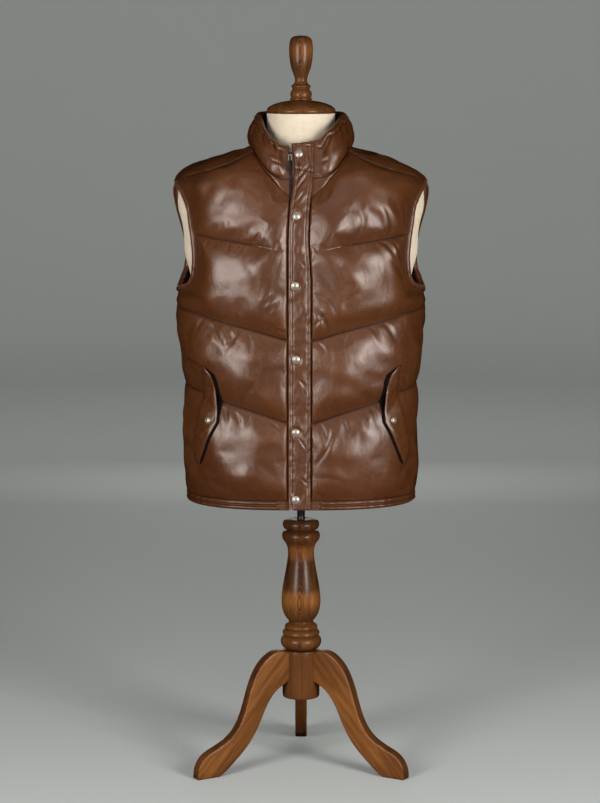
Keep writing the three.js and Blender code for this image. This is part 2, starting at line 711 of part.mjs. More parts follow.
const sliderLow = zip.low + zip.thick + seamGap;
const sliderSeat = frontPoint(zip.x, slider.z, sliderLow);
const sliderOut = sliderSeat.clone().sub(frontPoint(zip.x, slider.z, 0)).normalize();
const sliderFrame = new THREE.Group();
sliderFrame.position.copy(sliderSeat);
sliderFrame.quaternion.setFromUnitVectors(new THREE.Vector3(0, -1, 0), sliderOut);
group.add(sliderFrame);

// in the slider's own frame -Y points away from the vest and the pin lies along X
const corner = (x, y, z) => new THREE.Vector3(x, y, z);
const cheek = (side) => boxBetween(
  corner(side * slider.cheekIn - (side < 0 ? slider.cheek : 0), -slider.reach, slider.pinZ - slider.cheekHalf),
  corner(side * slider.cheekIn + (side > 0 ? slider.cheek : 0), -slider.thick / 2, slider.pinZ + slider.cheekHalf));
const pin = new THREE.CylinderGeometry(slider.pin, slider.pin, 2 * slider.cheekIn + slider.cheek, 10);
pin.rotateZ(Math.PI / 2);
pin.translate(0, slider.pinY, slider.pinZ);
const plate = boxBetween(
  corner(-slider.half, -slider.thick, -slider.length / 2),
  corner(slider.half, 0, slider.length / 2));
add('zip_slider', joined(plate, cheek(-1), cheek(1), pin), nickel, sliderFrame);

const tabShape = new THREE.Shape();
const tabHalf = pull.width / 2;
tabShape.absarc(0, 0, pull.head, 0, Math.PI, false);
tabShape.lineTo(-tabHalf, -pull.length + tabHalf);
tabShape.absarc(0, -pull.length + tabHalf, tabHalf, Math.PI, 2 * Math.PI, false);
tabShape.lineTo(pull.head, 0);
const eyeBlock = new THREE.CylinderGeometry(pull.eye, pull.eye, pull.head * 2, 14);
eyeBlock.rotateZ(Math.PI / 2);
const eyeBore = new THREE.CylinderGeometry(slider.pin + pull.play, slider.pin + pull.play, pull.head * 4, 14);
eyeBore.rotateZ(Math.PI / 2);
const tabPlate = new THREE.ExtrudeGeometry(tabShape, { depth: pull.thick, bevelEnabled: false, curveSegments: 5 });
tabPlate.rotateX(Math.PI / 2);
tabPlate.translate(0, pull.thick / 2, 0);
const tab = cut(joined(tabPlate, eyeBlock), eyeBore);
add('zip_pull', tab, nickel, sliderFrame).position.set(0, slider.pinY, slider.pinZ);

// ---- the dress form

// a closed solid from rings of points, bottom to top
function stackGeometry(rings) {
  const count = rings[0].length;
  const middle = (ring) => ring.reduce((sum, p) => sum.add(p), new THREE.Vector3()).divideScalar(count);
  const points = [...rings.flat(), middle(rings[0]), middle(rings[rings.length - 1])];
  const bottom = rings.length * count;
  const top = bottom + 1;
  const index = [];
  for (let i = 0; i < count; i += 1) {
    const next = (i + 1) % count;
    for (let ring = 0; ring < rings.length - 1; ring += 1) {
      const a = ring * count;
      index.push(a + i, a + next, a + count + next, a + i, a + count + next, a + count + i);
    }
    index.push(bottom, next, i);
    index.push(top, (rings.length - 1) * count + i, (rings.length - 1) * count + next);
  }
  return geometryOf(points, index);
}

const formLevels = [
  form.bottom, 566, 600, 680, 760, 840, 920, 980, 1025, 1052, 1066, 1075, 1084, 1094, 1104, 1114, 1126,
  1150, form.neckTop,
];
function formPoint(turn, z) {
  const point = bodyPoint(turn, z);
  const ahead = form.frontSlack * Math.max(Math.cos(THREE.MathUtils.degToRad(turn)), 0);
  const slack = mix(form.slack, form.rest + ahead, smooth(z, form.loose, form.snug));
  const base = z < form.bottom + 1 ? form.edge : 0;
  const torso = Math.hypot(point.x, point.y) - slack - base;
  const reach = mix(torso, form.neck, smooth(z, form.neckLow, form.neckHigh));
  const angle = THREE.MathUtils.degToRad(turn);
  return new THREE.Vector3(reach * Math.sin(angle), -reach * Math.cos(angle), z);
}
const formRing = (z) => Array.from({ length: form.columns }, (_, i) => formPoint((i * 360) / form.columns, z));
const socket = new THREE.CylinderGeometry(pole.bore, pole.bore, pole.top - form.bottom + 20, pole.segments);
socket.rotateX(Math.PI / 2);
socket.translate(0, 0, (pole.top + form.bottom - 20) / 2 + seamGap);
const backSeat = panelGeometry(backTurn, backColumns, 2 * seamGap, padding.crown);
add('dress_form', cut(stackGeometry(formLevels.map(formRing)), socket, backSeat), linen);
add('neck_cap', turned(capProfile, 24), walnut);
add('finial', turned(finialProfile, 16), walnut);

// ---- the stand

const poleRod = new THREE.CylinderGeometry(pole.radius, pole.radius, pole.top - pole.bottom, pole.segments);
poleRod.rotateX(Math.PI / 2);
poleRod.translate(0, 0, (pole.top + pole.bottom) / 2);
add('pole', poleRod, steel);

const boreBottom = pole.bottom - seamGap;
const columnOutline = [
  [0, boreBottom], [pole.bore, boreBottom], [pole.bore, columnProfile[0][1]], ...columnProfile,
  [0, columnProfile[columnProfile.length - 1][1]],
];
add('column', turned(columnOutline.slice().reverse(), 18), walnut);

const hubOutline = (spread) => [
  [0, hub.bottom - spread], [hub.radius - hub.chamfer + spread, hub.bottom - spread],
  [hub.radius + spread, hub.bottom + hub.chamfer], [hub.radius + spread, hub.top + spread], [0, hub.top + spread],
];
add('hub', turned(hubOutline(0), 24), walnut);

const legShape = new THREE.Shape(legOutline.map(([reach, z]) => new THREE.Vector2(reach, z)));
for (let i = 0; i < leg.count; i += 1) {
  const board = new THREE.ExtrudeGeometry(legShape, {
    depth: leg.thick - 2 * leg.bevel,
    bevelThickness: leg.bevel,
    bevelSize: leg.bevel,
    bevelOffset: -leg.bevel,
    bevelSegments: 2,
  });
  board.translate(0, 0, -(leg.thick - 2 * leg.bevel) / 2);
  board.rotateX(Math.PI / 2);
  board.rotateZ(THREE.MathUtils.degToRad(-90 + leg.turn + (i * 360) / leg.count));
  add(`leg_${i + 1}`, cut(board, turned(hubOutline(seamGap), 24)), walnut);
}

const bounds = new THREE.Box3().setFromObject(group, true);
const centre = bounds.getCenter(new THREE.Vector3());
group.position.set(-centre.x, -centre.y, -bounds.min.z);

export default group;
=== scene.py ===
# A padded leather vest on a limbless dress form with a turned wooden tripod stand.
import math

import bpy
import numpy as np
from mathutils import Matrix, Vector


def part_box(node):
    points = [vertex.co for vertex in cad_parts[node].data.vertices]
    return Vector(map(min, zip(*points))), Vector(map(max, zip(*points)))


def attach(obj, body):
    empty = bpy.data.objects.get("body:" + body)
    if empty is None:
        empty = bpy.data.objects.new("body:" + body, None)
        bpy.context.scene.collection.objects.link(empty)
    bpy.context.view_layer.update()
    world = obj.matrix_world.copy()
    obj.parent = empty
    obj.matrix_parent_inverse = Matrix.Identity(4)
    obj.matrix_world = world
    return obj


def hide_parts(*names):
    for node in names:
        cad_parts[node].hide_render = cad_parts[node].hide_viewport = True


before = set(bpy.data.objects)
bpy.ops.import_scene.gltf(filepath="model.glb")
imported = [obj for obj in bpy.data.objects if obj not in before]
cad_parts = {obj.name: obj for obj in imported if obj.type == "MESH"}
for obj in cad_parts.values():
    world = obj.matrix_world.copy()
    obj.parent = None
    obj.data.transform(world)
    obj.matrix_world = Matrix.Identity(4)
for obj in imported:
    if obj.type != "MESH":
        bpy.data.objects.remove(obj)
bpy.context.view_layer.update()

mm = 0.001  # the tables below are in millimetres, as on a pattern maker's sheet
poleLow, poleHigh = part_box("pole")
axisY = (poleLow.y + poleHigh.y) / 2  # everything is built round the pole


# puts an object with its data into the scene
def linked(name, data):
    thing = bpy.data.objects.new(name, data)
    bpy.context.scene.collection.objects.link(thing)
    return thing


# ---- the camera and the room
camera = {"distance": 4.6, "height": 1.33, "pitchDown": 8.1, "lens": 114.68, "shift": -0.00125}
eye = linked("camera", bpy.data.cameras.new("camera"))
eye.location = (0, axisY - camera["distance"], camera["height"])
eye.rotation_euler = (math.radians(90 - camera["pitchDown"]), 0, 0)
eye.data.lens = camera["lens"]
eye.data.shift_x = camera["shift"]
eye.data.clip_end = 50
bpy.context.scene.camera = eye

room = {
    "flat": 5.4, "bend": 2.6, "top": 6.0, "steps": 12, "sides": 96, "grey": (0.5, 0.515, 0.495),
    "worldGrey": (0.95, 1.0, 0.97), "worldPower": 0.26,
}
# each lamp points at the vest's middle, unless it has a way of its own to point from
lamps = [
    {"name": "softboxRight", "turn": -35, "height": 1.12, "away": 2.5, "size": (0.85, 1.3), "power": 50},
    {"name": "softboxLeft", "turn": 38, "height": 1.12, "away": 2.5, "size": (0.85, 1.3), "power": 64},
    {"name": "overhead", "turn": 0, "height": 3.3, "away": 1.6, "size": (1.8, 1.2), "power": 9},
    {"name": "backLamp", "turn": 180, "height": 0.9, "away": 3.4, "size": (1.3, 0.7), "power": 5},
    {"name": "wallLamp", "turn": 180, "height": 2.3, "away": 1.7, "size": (3.2, 1.2), "power": 74,
     "from": (0, -1, -0.4)},
]
lampTarget = Vector((0, axisY, 0.85))
for lamp in lamps:
    light = bpy.data.lights.new(lamp["name"], "AREA")
    light.shape = "RECTANGLE"
    light.size, light.size_y = lamp["size"]
    light.energy = lamp["power"]
    turn = math.radians(lamp["turn"])
    away = Vector((lamp["away"] * math.sin(turn), -lamp["away"] * math.cos(turn),
                   lamp["height"] - lampTarget.z))
    box = linked(lamp["name"], light)
    box.location = lampTarget + away
    box.visible_camera = False
    box.rotation_euler = (-Vector(lamp.get("from", away))).to_track_quat("-Z", "Y").to_euler()

world = bpy.data.worlds.new("studio")
world.use_nodes = True
world.node_tree.nodes["Background"].inputs["Color"].default_value = (*room["worldGrey"], 1)
world.node_tree.nodes["Background"].inputs["Strength"].default_value = room["worldPower"]
world.cycles_visibility.glossy = False
bpy.context.scene.world = world
bpy.context.scene.view_settings.view_transform = "Standard"
print("camera and lights placed")


# ---- finishes

# wraps a socket, so that maths on it adds its nodes
class Value:

    def __init__(self, finish, socket):
        self.finish, self.socket = finish, socket

    def maths(self, operation, other):
        return self.finish.add("ShaderNodeMath", {"operation": operation}, {0: self, 1: other})

    def __add__(self, other):
        return self.maths("ADD", other)

    def __sub__(self, other):
        return self.maths("SUBTRACT", other)

    def __mul__(self, other):
        return self.maths("MULTIPLY", other)


# a material on a principled shader
class Finish:

    def __init__(self, name, **constants):
        self.material = bpy.data.materials.new(name)
        self.material.use_nodes = True
        self.tree = self.material.node_tree
        self.shader = self.tree.nodes["Principled BSDF"]
        for socket, value in constants.items():
            self.shader.inputs[socket.replace("_", " ")].default_value = value

    def add(self, kind, settings=None, inputs=None, output=0):
        node = self.tree.nodes.new(kind)
        for key, value in (settings or {}).items():
            if key == "stops":
                ramp = node.color_ramp.elements
                while len(ramp) < len(value):
                    ramp.new(0.5)
                for element, (position, colour) in zip(ramp, value):
                    element.position, element.color = position, (*colour, 1)
            else:
                setattr(node, key, value)
        for key, value in (inputs or {}).items():
            if isinstance(value, Value):
                self.tree.links.new(value.socket, node.inputs[key])
            else:
                node.inputs[key].default_value = value
        return Value(self, node.outputs[output])

    def place(self, stretch=(1, 1, 1)):
        here = self.add("ShaderNodeTexCoord", output="Object")
        return self.add("ShaderNodeMapping", None, {"Vector": here, "Scale": stretch})

    def attribute(self, name, stretch=None, shift=(0, 0, 0)):
        settings = {"attribute_name": name}
        if stretch is None:
            return self.add("ShaderNodeAttribute", settings, output="Fac")
        here = self.add("ShaderNodeAttribute", settings, output="Vector")
        return self.add("ShaderNodeMapping", None, {"Vector": here, "Scale": stretch, "Location": shift})

    def noise(self, place, scale, detail=2.0, roughness=0.5, distortion=0.0):
        return self.add("ShaderNodeTexNoise", None, {
            "Vector": place, "Scale": scale, "Detail": detail, "Roughness": roughness,
            "Distortion": distortion})

    def cells(self, place, scale):
        return self.add("ShaderNodeTexVoronoi", {"feature": "DISTANCE_TO_EDGE"},
                        {"Vector": place, "Scale": scale})

    def wave(self, settings, place, scale, distortion, detail):
        return self.add("ShaderNodeTexWave", settings, {
            "Vector": place, "Scale": scale, "Distortion": distortion, "Detail": detail})

    def ramp(self, factor, *stops):
        return self.add("ShaderNodeValToRGB", {"stops": stops}, {"Fac": factor})

    def between(self, value, low, high, toLow=0.0, toHigh=1.0):
        return self.add("ShaderNodeMapRange", None, {
            "Value": value, "From Min": low, "From Max": high, "To Min": toLow, "To Max": toHigh})

    def mix(self, factor, first, second):
        colour = [(*c, 1) if isinstance(c, tuple) else c for c in (first, second)]
        return self.add("ShaderNodeMix", {"data_type": "RGBA"},
                        {0: factor, 6: colour[0], 7: colour[1]}, output=2)

    def bump(self, height, distance, strength=1.0, under=None):
        inputs = {"Height": height, "Distance": distance, "Strength": strength}
        if under is not None:
            inputs["Normal"] = under
        return self.add("ShaderNodeBump", None, inputs)

    def feed(self, **links):
        for socket, value in links.items():
            self.tree.links.new(value.socket, self.shader.inputs[socket.replace("_", " ")])
        return self.material


# one attribute paints shade into the creases and seams, darkening them almost to black; the "crest" attribute
# lightens what stands proud, as wear
def leatherFinish(name, deep, warm, worn):
    finish = Finish(name, Specular_IOR_Level=0.52, Specular_Tint=(1, 0.9, 0.82, 1), Coat_Weight=0.19,
                    Coat_Roughness=0.28)
    place = finish.place()
    clouds = finish.noise(place, 9, 3, 0.5)
    speckle = finish.noise(place, 170, 3, 0.6)
    tone = finish.mix(finish.between(clouds, 0.35, 0.68), deep, warm)
    tone = finish.mix(finish.between(speckle, 0.4, 0.8, 0, 0.22), tone, worn)
    tone = finish.mix(finish.between(finish.attribute("crest"), 0.1, 1, 0, 0.35), tone, worn)
    # painted shade: the tone goes nearly black where the leather is sunken or sewn down
    hollow = finish.between(finish.attribute("hollow"), 0.05, 1, 0, 0.85)
    tone = finish.mix(hollow, tone, tuple(0.12 * c for c in deep))
    # pebbled grain, with finer pores and a net of soft creases under it
    grain = finish.cells(place, 620)
    pores = finish.noise(place, 1500, 2, 0.6)
    creases = finish.noise(finish.place((1, 1, 0.6)), 48, 3, 0.55, 1.4)
    dents = finish.bump(creases, 0.0016, 0.4)
    pebbled = finish.bump(finish.between(grain, 0, 0.22), 0.00012, 0.5, dents)
    surface = finish.bump(pores, 0.00006, 0.4, pebbled)
    rough = finish.between(clouds + speckle * 0.7, 0.55, 1.15, 0.295, 0.385)
    return finish.feed(Base_Color=tone, Roughness=rough + hollow * 0.3, Normal=surface)


# a plain weave with thicker threads here and there; threads sets how fine it is
def clothFinish(name, dark, light, threads, depth, roughness=0.9, **constants):
    finish = Finish(name, **constants)
    across = finish.wave({"bands_direction": "X"}, finish.place((1, 1, 0)), threads, 0.6, 1)
    down = finish.wave({"bands_direction": "Z"}, finish.place((0, 0, 1)), threads, 0.6, 1)
    weave = across * down
    slub = finish.noise(finish.place((1, 1, 9)), 70, 3, 0.6)
    stain = finish.noise(finish.place(), 14, 3, 0.5)
    tone = finish.mix(finish.between(slub * 0.6 + stain * 0.4, 0.35, 0.65), dark, light)
    tone = finish.mix(weave * 0.3, tone, tuple(0.72 * c for c in dark))
    rough = finish.between(slub, 0.3, 0.7, roughness - 0.06, roughness)
    return finish.feed(Base_Color=tone, Roughness=rough, Normal=finish.bump(weave + slub * 0.5, depth))


def metalFinish(name, bright, dull, roughness, metallic):
    finish = Finish(name, Metallic=metallic)
    place = finish.place()
    tarnish = finish.noise(place, 260, 4, 0.65)
    scratch = finish.noise(finish.place((1, 1, 6)), 900, 2, 0.6)
    tone = finish.mix(finish.between(tarnish, 0.38, 0.66), bright, dull)
    rough = finish.between(tarnish + scratch * 0.3, 0.4, 0.95, roughness, roughness + 0.2)
    return finish.feed(Base_Color=tone, Roughness=rough, Normal=finish.bump(scratch, 0.00004))


# growth rings round a heart beside the piece, so that they show as arches and eyes where it swells;
# figure sets how marked they are, and the "tone" attribute how light the wood is
def woodFinish(name, dark, brown, amber, figure):
    finish = Finish(name, Coat_Weight=0.17, Coat_Roughness=0.17, Specular_IOR_Level=0.2,
                    Specular_Tint=(1, 0.8, 0.62, 1))
    wander = finish.noise(finish.attribute("grain", (1, 1, 0.3)), 22, 3, 0.55)
    rings = finish.wave({"wave_type": "RINGS", "rings_direction": "Z"},
                        finish.attribute("grain", (1, 1, 0.12), (0.004, 0.052, 0)), 165, 1.6, 2)
    streaks = finish.noise(finish.attribute("grain", (1, 1, 0.05)), 150, 4, 0.6)
    fibres = finish.noise(finish.attribute("grain", (1, 1, 0.03)), 800, 2, 0.6)
    uneven = (wander - 0.5) * 0.65 + (rings - 0.5) * 0.24 + (streaks - 0.5) * 0.6
    blend = finish.attribute("tone") + uneven * figure
    tone = finish.ramp(blend, (0.1, dark), (0.5, brown), (0.95, amber))
    pores = finish.between(fibres, 0.54, 0.76, 0, 0.4 * figure)
    tone = finish.mix(pores, tone, tuple(0.45 * c for c in dark))
    rough = finish.between(streaks, 0.3, 0.7, 0.34, 0.46)
    return finish.feed(Base_Color=tone, Roughness=rough,
                       Normal=finish.bump(fibres * 0.6 + streaks * 0.4, 0.00016, 0.5))


walnut = (0.03, 0.0105, 0.004), (0.135, 0.046, 0.0105), (0.35, 0.135, 0.026)
finishes = {
    "leather": leatherFinish("leather", (0.053, 0.0153, 0.0037), (0.0745, 0.0226, 0.0056),
                             (0.113, 0.04, 0.013)),
    "edging": leatherFinish("edging", (0.05, 0.014, 0.006), (0.08, 0.025, 0.01), (0.15, 0.06, 0.03)),
    "lining": clothFinish("lining", (0.017, 0.011, 0.0085), (0.03, 0.019, 0.014), 900, 0.0001, 0.62),
    # painted shadow: a near-black, barely reflecting cloth for the strip beside each pocket flap
    "mouth": clothFinish("mouth", (0.002, 0.0015, 0.0015), (0.005, 0.003, 0.003), 900, 0.0001, 0.95,
                         Specular_IOR_Level=0.08),
    "thread": clothFinish("thread", (0.12, 0.05, 0.026), (0.2, 0.09, 0.048), 1600, 0.0001, 0.6),
    "linen": clothFinish("linen", (0.66, 0.545, 0.395), (0.78, 0.67, 0.51), 620, 0.00028, 0.92),
    "nickel": metalFinish("nickel", (0.5, 0.45, 0.375), (0.31, 0.26, 0.205), 0.29, 0.78),
    "steel": metalFinish("steel", (0.06, 0.055, 0.052), (0.025, 0.022, 0.02), 0.3, 0.9),
    "wood": woodFinish("wood", *walnut, 1),
    "plainWood": woodFinish("plainWood", *walnut, 0.45),
}
floorFinish = Finish("floorFinish", Roughness=0.9)
floorShade = floorFinish.noise(floorFinish.place(), 1.2, 3)
floorFinish.feed(Base_Color=floorFinish.mix(floorFinish.between(floorShade, 0.3, 0.7, 0, 0.5),
                                            room["grey"], tuple(0.96 * c for c in room["grey"])))
print("finishes mixed")


# ---- tables and curves

def table(columns, *rows):
    names = columns.split()
    return [dict(zip(names, row)) for row in rows]


# a smooth curve through a table's column that never overshoots its rows
def track(rows, column, by="z"):
    at = np.array([row[by] for row in rows], float)
    value = np.array([row[column] for row in rows], float)
    rise = np.diff(value) / np.diff(at)
    before, after = np.concatenate([rise[:1], rise]), np.concatenate([rise, rise[-1:]])
    both = before * after
    slope = np.where(both > 0, 2 * both / np.where(both > 0, before + after, 1), 0)

    def follow(x):
        x = np.clip(x, at[0], at[-1])
        i = np.clip(np.searchsorted(at, x, side="right") - 1, 0, len(rise) - 1)
        span = at[i + 1] - at[i]
        t = (x - at[i]) / span
        s = 1 - t
        return (value[i] * (1 + 2 * t) * s * s + value[i + 1] * t * t * (3 - 2 * t)
                + span * t * s * (slope[i] * s - slope[i + 1] * t))
    return follow


def mix(a, b, t):
    return a + (b - a) * t


def smooth(x, low, high):
    t = np.clip((x - low) / (high - low), 0, 1)
    return t * t * (3 - 2 * t)


# shares from 0 to 1, up and across a grid
def grid(rows, columns):
    return np.meshgrid(np.linspace(0, 1, rows), np.linspace(0, 1, columns), indexing="ij")


levels = table(
    "z half front back square",
    (500, 199, 136, 131, 2.5), (572, 198, 134, 129, 2.5), (660, 199, 134, 129, 2.5),
    (718, 200, 134, 129, 2.5), (762, 203, 135, 130, 2.5), (806, 208, 136, 131, 2.5),
    (835, 213, 136, 133, 2.5), (862, 217, 137, 136, 2.5), (879, 216, 137, 137, 2.5),
    (940, 217, 138, 138, 2.5), (1000, 219, 133, 135, 2.5), (1030, 220, 126, 130, 2.5),
    (1055, 221, 118, 123, 2.45), (1073, 220, 111, 117, 2.4), (1083, 209, 107, 112, 2.4),
    (1094, 181, 102, 107, 2.35), (1105, 149, 97, 101, 2.3), (1115, 121, 93, 95, 2.25),
    (1125, 98, 89, 90, 2.2), (1135, 83, 86, 86, 2.1), (1150, 76, 82, 82, 2.1))
seams = table(
    "turn low middle high",
    (0, 651, 799, 955), (11, 657, 804, 959), (30, 673, 818, 969), (53, 693, 836, 980),
    (66, 707, 848, 987), (90, 716, 858, 994))
neckline = table(
    "turn z", (0, 1047), (8, 1052), (17, 1065), (30, 1090), (45, 1116), (60, 1129), (90, 1131), (180, 1138))
collarSeam = table(
    "turn share", (0, 0.38), (9, 0.35), (18, 0.25), (30, 0.08), (60, 0.06), (180, 0.06))
rim = table(
    "turn right left reach",
    (0, 1143, 1144, 88), (20, 1138, 1149, 86), (35, 1145, 1162, 83), (50, 1160, 1174, 77),
    (70, 1182, 1187, 72), (90, 1190, 1190, 70), (135, 1193, 1193, 73), (180, 1194, 1194, 76))
armhole = table(
    "z front back",
    (877, 90, 90), (881, 84, 94), (887, 74, 99), (897, 67.5, 103), (913, 64.8, 107), (946, 63.6, 109),
    (975, 64.6, 107), (1000, 66.2, 104), (1031, 68.7, 98), (1051, 72.5, 93), (1066, 77, 87), (1075, 82, 82))
shoulderSeam = table(
    "z turn", (1075, 82), (1083, 76), (1093, 70), (1105, 65), (1116, 62), (1129, 60))
placketEdges = table(
    "z right left",
    (500, -22.5, 17), (900, -22.5, 17), (985, -22, 13), (1040, -19, 16), (1075, -13, 20),
    (1100, -10.5, 21), (1125, -12, 21.5), (1143, -15, 22))

halfWidth, frontDepth = track(levels, "half"), track(levels, "front")
backDepth, square = track(levels, "back"), track(levels, "square")
necklineZ = track(neckline, "z", "turn")
rimReach = track(rim, "reach", "turn")
rimRight, rimLeft = track(rim, "right", "turn"), track(rim, "left", "turn")
armholeFront, armholeBack = track(armhole, "front"), track(armhole, "back")
shoulderTurn = track(shoulderSeam, "turn")
placketRight, placketLeft = track(placketEdges, "right"), track(placketEdges, "left")
seamZ = [track(seams, name, "turn") for name in ("low", "middle", "high")]
armpit, shoulderTip, shoulderNeck = armhole[0]["z"], shoulderSeam[0]["z"], shoulderSeam[-1]["z"]


def frontEdge(z):
    return np.where(z > shoulderTip, shoulderTurn(z), armholeFront(z))


def backEdge(z):
    return np.where(z > shoulderTip, shoulderTurn(z), armholeBack(z))


def folded(turn):
    return np.abs((turn + 180) % 360 - 180)


def fromCentre(turn):
    return np.minimum(folded(turn), 180 - folded(turn))


def points(x, y, z):
    return np.stack(np.broadcast_arrays(x, y, z), -1).astype(float)


def unit(v):
    return v / np.linalg.norm(v, axis=-1, keepdims=True)


# the vest's inner face: a squared ellipse at each height
def bodyPoint(turn, z):
    angle = np.radians(turn)
    depth = np.where(np.cos(angle) > 0, frontDepth(z), backDepth(z))
    power = square(z)
    along = np.abs(np.cos(angle) / depth) ** power + np.abs(np.sin(angle) / halfWidth(z)) ** power
    reach = along ** (-1 / power)
    return points(reach * np.sin(angle), -reach * np.cos(angle), z)


def turnAtX(x, z):
    power = square(z)
    y = frontDepth(z) * (1 - np.abs(x / halfWidth(z)) ** power) ** (1 / power)
    return np.degrees(np.arctan2(x, y))


def normalOf(surface, turn, v, step):
    across = surface(turn + 0.5, v) - surface(turn - 0.5, v)
    up = surface(turn, v + step) - surface(turn, v - step)
    return unit(np.cross(across, up))


# the collar's inner face, from its seam at height 0 to its rim at 1
def collarPoint(turn, height):
    base = bodyPoint(turn, necklineZ(folded(turn)) + 0.6)
    angle, reach = np.radians(turn), rimReach(folded(turn))
    rightSide = (turn + 180) % 360 < 180
    top = points(reach * np.sin(angle), -reach * np.cos(angle),
                 np.where(rightSide, rimRight(folded(turn)), rimLeft(folded(turn))))
    return mix(base, top, np.asarray(height)[..., None])


def collarTurnAtX(x, height):
    turn = np.zeros(np.broadcast(x, height).shape)
    for _ in range(5):
        turn = np.degrees(np.arctan2(x, -collarPoint(turn, height)[..., 1]))
    return turn


# the inner face at the centre front, on the body or up the collar
def frontFace(x, z):
    x, z = np.broadcast_arrays(np.asarray(x, float), np.asarray(z, float))
    face = bodyPoint(turnAtX(x, z), z)
    above = z > necklineZ(folded(turnAtX(x, np.minimum(z, necklineZ(0)))))
    if above.any():
        x, z = x[above], z[above]
        height = np.full(x.shape, 0.5)
        for _ in range(6):
            turn = collarTurnAtX(x, height)
            low, high = collarPoint(turn, 0 * turn)[..., 2], collarPoint(turn, 0 * turn + 1)[..., 2]
            height = np.maximum((z - low) / (high - low), 0)
        face[above] = collarPoint(collarTurnAtX(x, height), height)
    return face


# a point lifted off that face, along a normal that is taken over a fair length, so it turns gently
def frontPoint(x, z, lift):
    reach = 9
    up = frontFace(x, z + reach) - frontFace(x, z - reach)
    across = frontFace(x + 2, z) - frontFace(x - 2, z)
    return frontFace(x, z) + unit(np.cross(across, up)) * np.asarray(lift)[..., None]


# how far round the body a turn is, in millimetres from the centre front
turns = np.linspace(0, 180, 361)
girth = np.linalg.norm(np.diff(bodyPoint(turns, 850.0), axis=0), axis=1)
girth = np.concatenate([[0], np.cumsum(girth)])


def roundBody(turn):
    signed = (turn + 180) % 360 - 180
    return np.sign(signed) * np.interp(np.abs(signed), turns, girth)


def girthFromBack(turn):  # the same, but on past the centre back without a jump
    return np.interp(turn, np.concatenate([turns, 360 - turns[::-1][1:]]),
                     np.concatenate([girth, 2 * girth[-1] - girth[::-1][1:]]))


# ---- random but repeatable unevenness

# a smooth field of unit spread, with bumps about as long as given
def waves(seed, length, dimensions=3, count=22):
    dice = np.random.default_rng(seed)
    direction = unit(dice.normal(size=(count, dimensions)))
    pitch = 2 * math.pi / (length * dice.uniform(0.72, 1.4, count))
    phase = dice.uniform(0, 2 * math.pi, count)

    def field(at):
        at = np.asarray(at)
        return np.cos(at @ (direction * pitch[:, None]).T + phase).sum(-1) / math.sqrt(count / 2)
    return field


# a field's mean over a square about each point
def blurred(field, radius):
    span = 2 * radius + 1
    for axis in (0, 1):
        padded = np.pad(field, [(radius, radius) if a == axis else (0, 0) for a in (0, 1)], mode="edge")
        total = np.insert(np.cumsum(padded, axis=axis), 0, 0, axis=axis)
        upper = np.take(total, range(span, total.shape[axis]), axis=axis)
        field = (upper - np.take(total, range(0, total.shape[axis] - span), axis=axis)) / span
    return field


# how sunken and how proud each point is: painted shade for the creases, and wear for the crests
def relief(height):
    step = height - blurred(height, 3)
    return {"hollow": np.clip(-step / 2.4, 0, 0.45), "crest": np.clip(step / 1.6, 0, 1)}


# one crease along a run: a valley that fades at its ends, with a soft fold on each side
def creaseAt(across, up, run, row, early=0.15, late=0.6, narrow=0.55, proud=0.5, bow=0.0):
    length = math.hypot(*run)
    along = (across * run[0] + up * run[1]) / length
    off = (across * run[1] - up * run[0]) / length + bow * length * np.sin(math.pi * along / length)
    fade = smooth(along, -early * length, 0.3 * length) * (1 - smooth(along, late * length, 1.15 * length))
    valley = np.exp(-(off / (narrow * row["wide"])) ** 2)
    fold = np.exp(-((np.abs(off) - 1.5 * row["wide"]) / row["wide"]) ** 2)
    return row["deep"] * fade * (proud * fold - valley)


# ---- meshes

# keeps a number or a vector for each point of a mesh
def mark(mesh, name, values):
    values = np.asarray(values, np.float32)
    layer = mesh.attributes.new(name, "FLOAT_VECTOR" if values.ndim == 2 else "FLOAT", "POINT")
    layer.data.foreach_set("vector" if values.ndim == 2 else "value", values.ravel())


# a piece from points in millimetres round the axis
def newMesh(name, vertices, faces, finishNames, faceFinish=None, attributes=None):
    mesh = bpy.data.meshes.new(name)
    place = np.asarray(vertices).reshape(-1, 3) * mm + np.array((0, axisY, 0))
    mesh.from_pydata(place.tolist(), [], faces if isinstance(faces, list) else faces.tolist())
    for finishName in finishNames:
        mesh.materials.append(finishes[finishName])
    if faceFinish is not None:
        mesh.polygons.foreach_set("material_index", np.asarray(faceFinish, np.int32))
    mesh.polygons.foreach_set("use_smooth", [True] * len(mesh.polygons))
    for attribute, values in (attributes or {}).items():
        mark(mesh, attribute, values)
    mesh.update()
    return linked(name, mesh)


# a closed wall between two grids of points, rows from bottom to top and columns anticlockwise
def wall(name, outer, inner, finishNames, attributes=None):
    rows, columns = outer.shape[:2]
    index = np.arange(rows * columns).reshape(rows, columns)
    inside = index + rows * columns

    def quads(a, b, c, d):
        return np.stack([q.ravel() for q in (a, b, c, d)], -1)
    front = quads(index[:-1, :-1], index[:-1, 1:], index[1:, 1:], index[1:, :-1])
    rear = quads(inside[:-1, :-1], inside[1:, :-1], inside[1:, 1:], inside[:-1, 1:])
    rims = [quads(index[0, :-1], inside[0, :-1], inside[0, 1:], index[0, 1:]),
            quads(index[-1, :-1], index[-1, 1:], inside[-1, 1:], inside[-1, :-1]),
            quads(index[:-1, 0], index[1:, 0], inside[1:, 0], inside[:-1, 0]),
            quads(index[:-1, -1], inside[:-1, -1], inside[1:, -1], index[1:, -1])]
    faces = np.concatenate([front, rear, *rims])
    which = np.zeros(len(faces), int)
    if len(finishNames) > 1:
        which[len(front):len(front) + len(rear)] = 1
    spread = {key: np.concatenate([np.ravel(values), 0 * np.ravel(values)])
              for key, values in (attributes or {}).items()}
    return newMesh(name, np.concatenate([outer.reshape(-1, 3), inner.reshape(-1, 3)]), faces,
                   finishNames, which, spread)


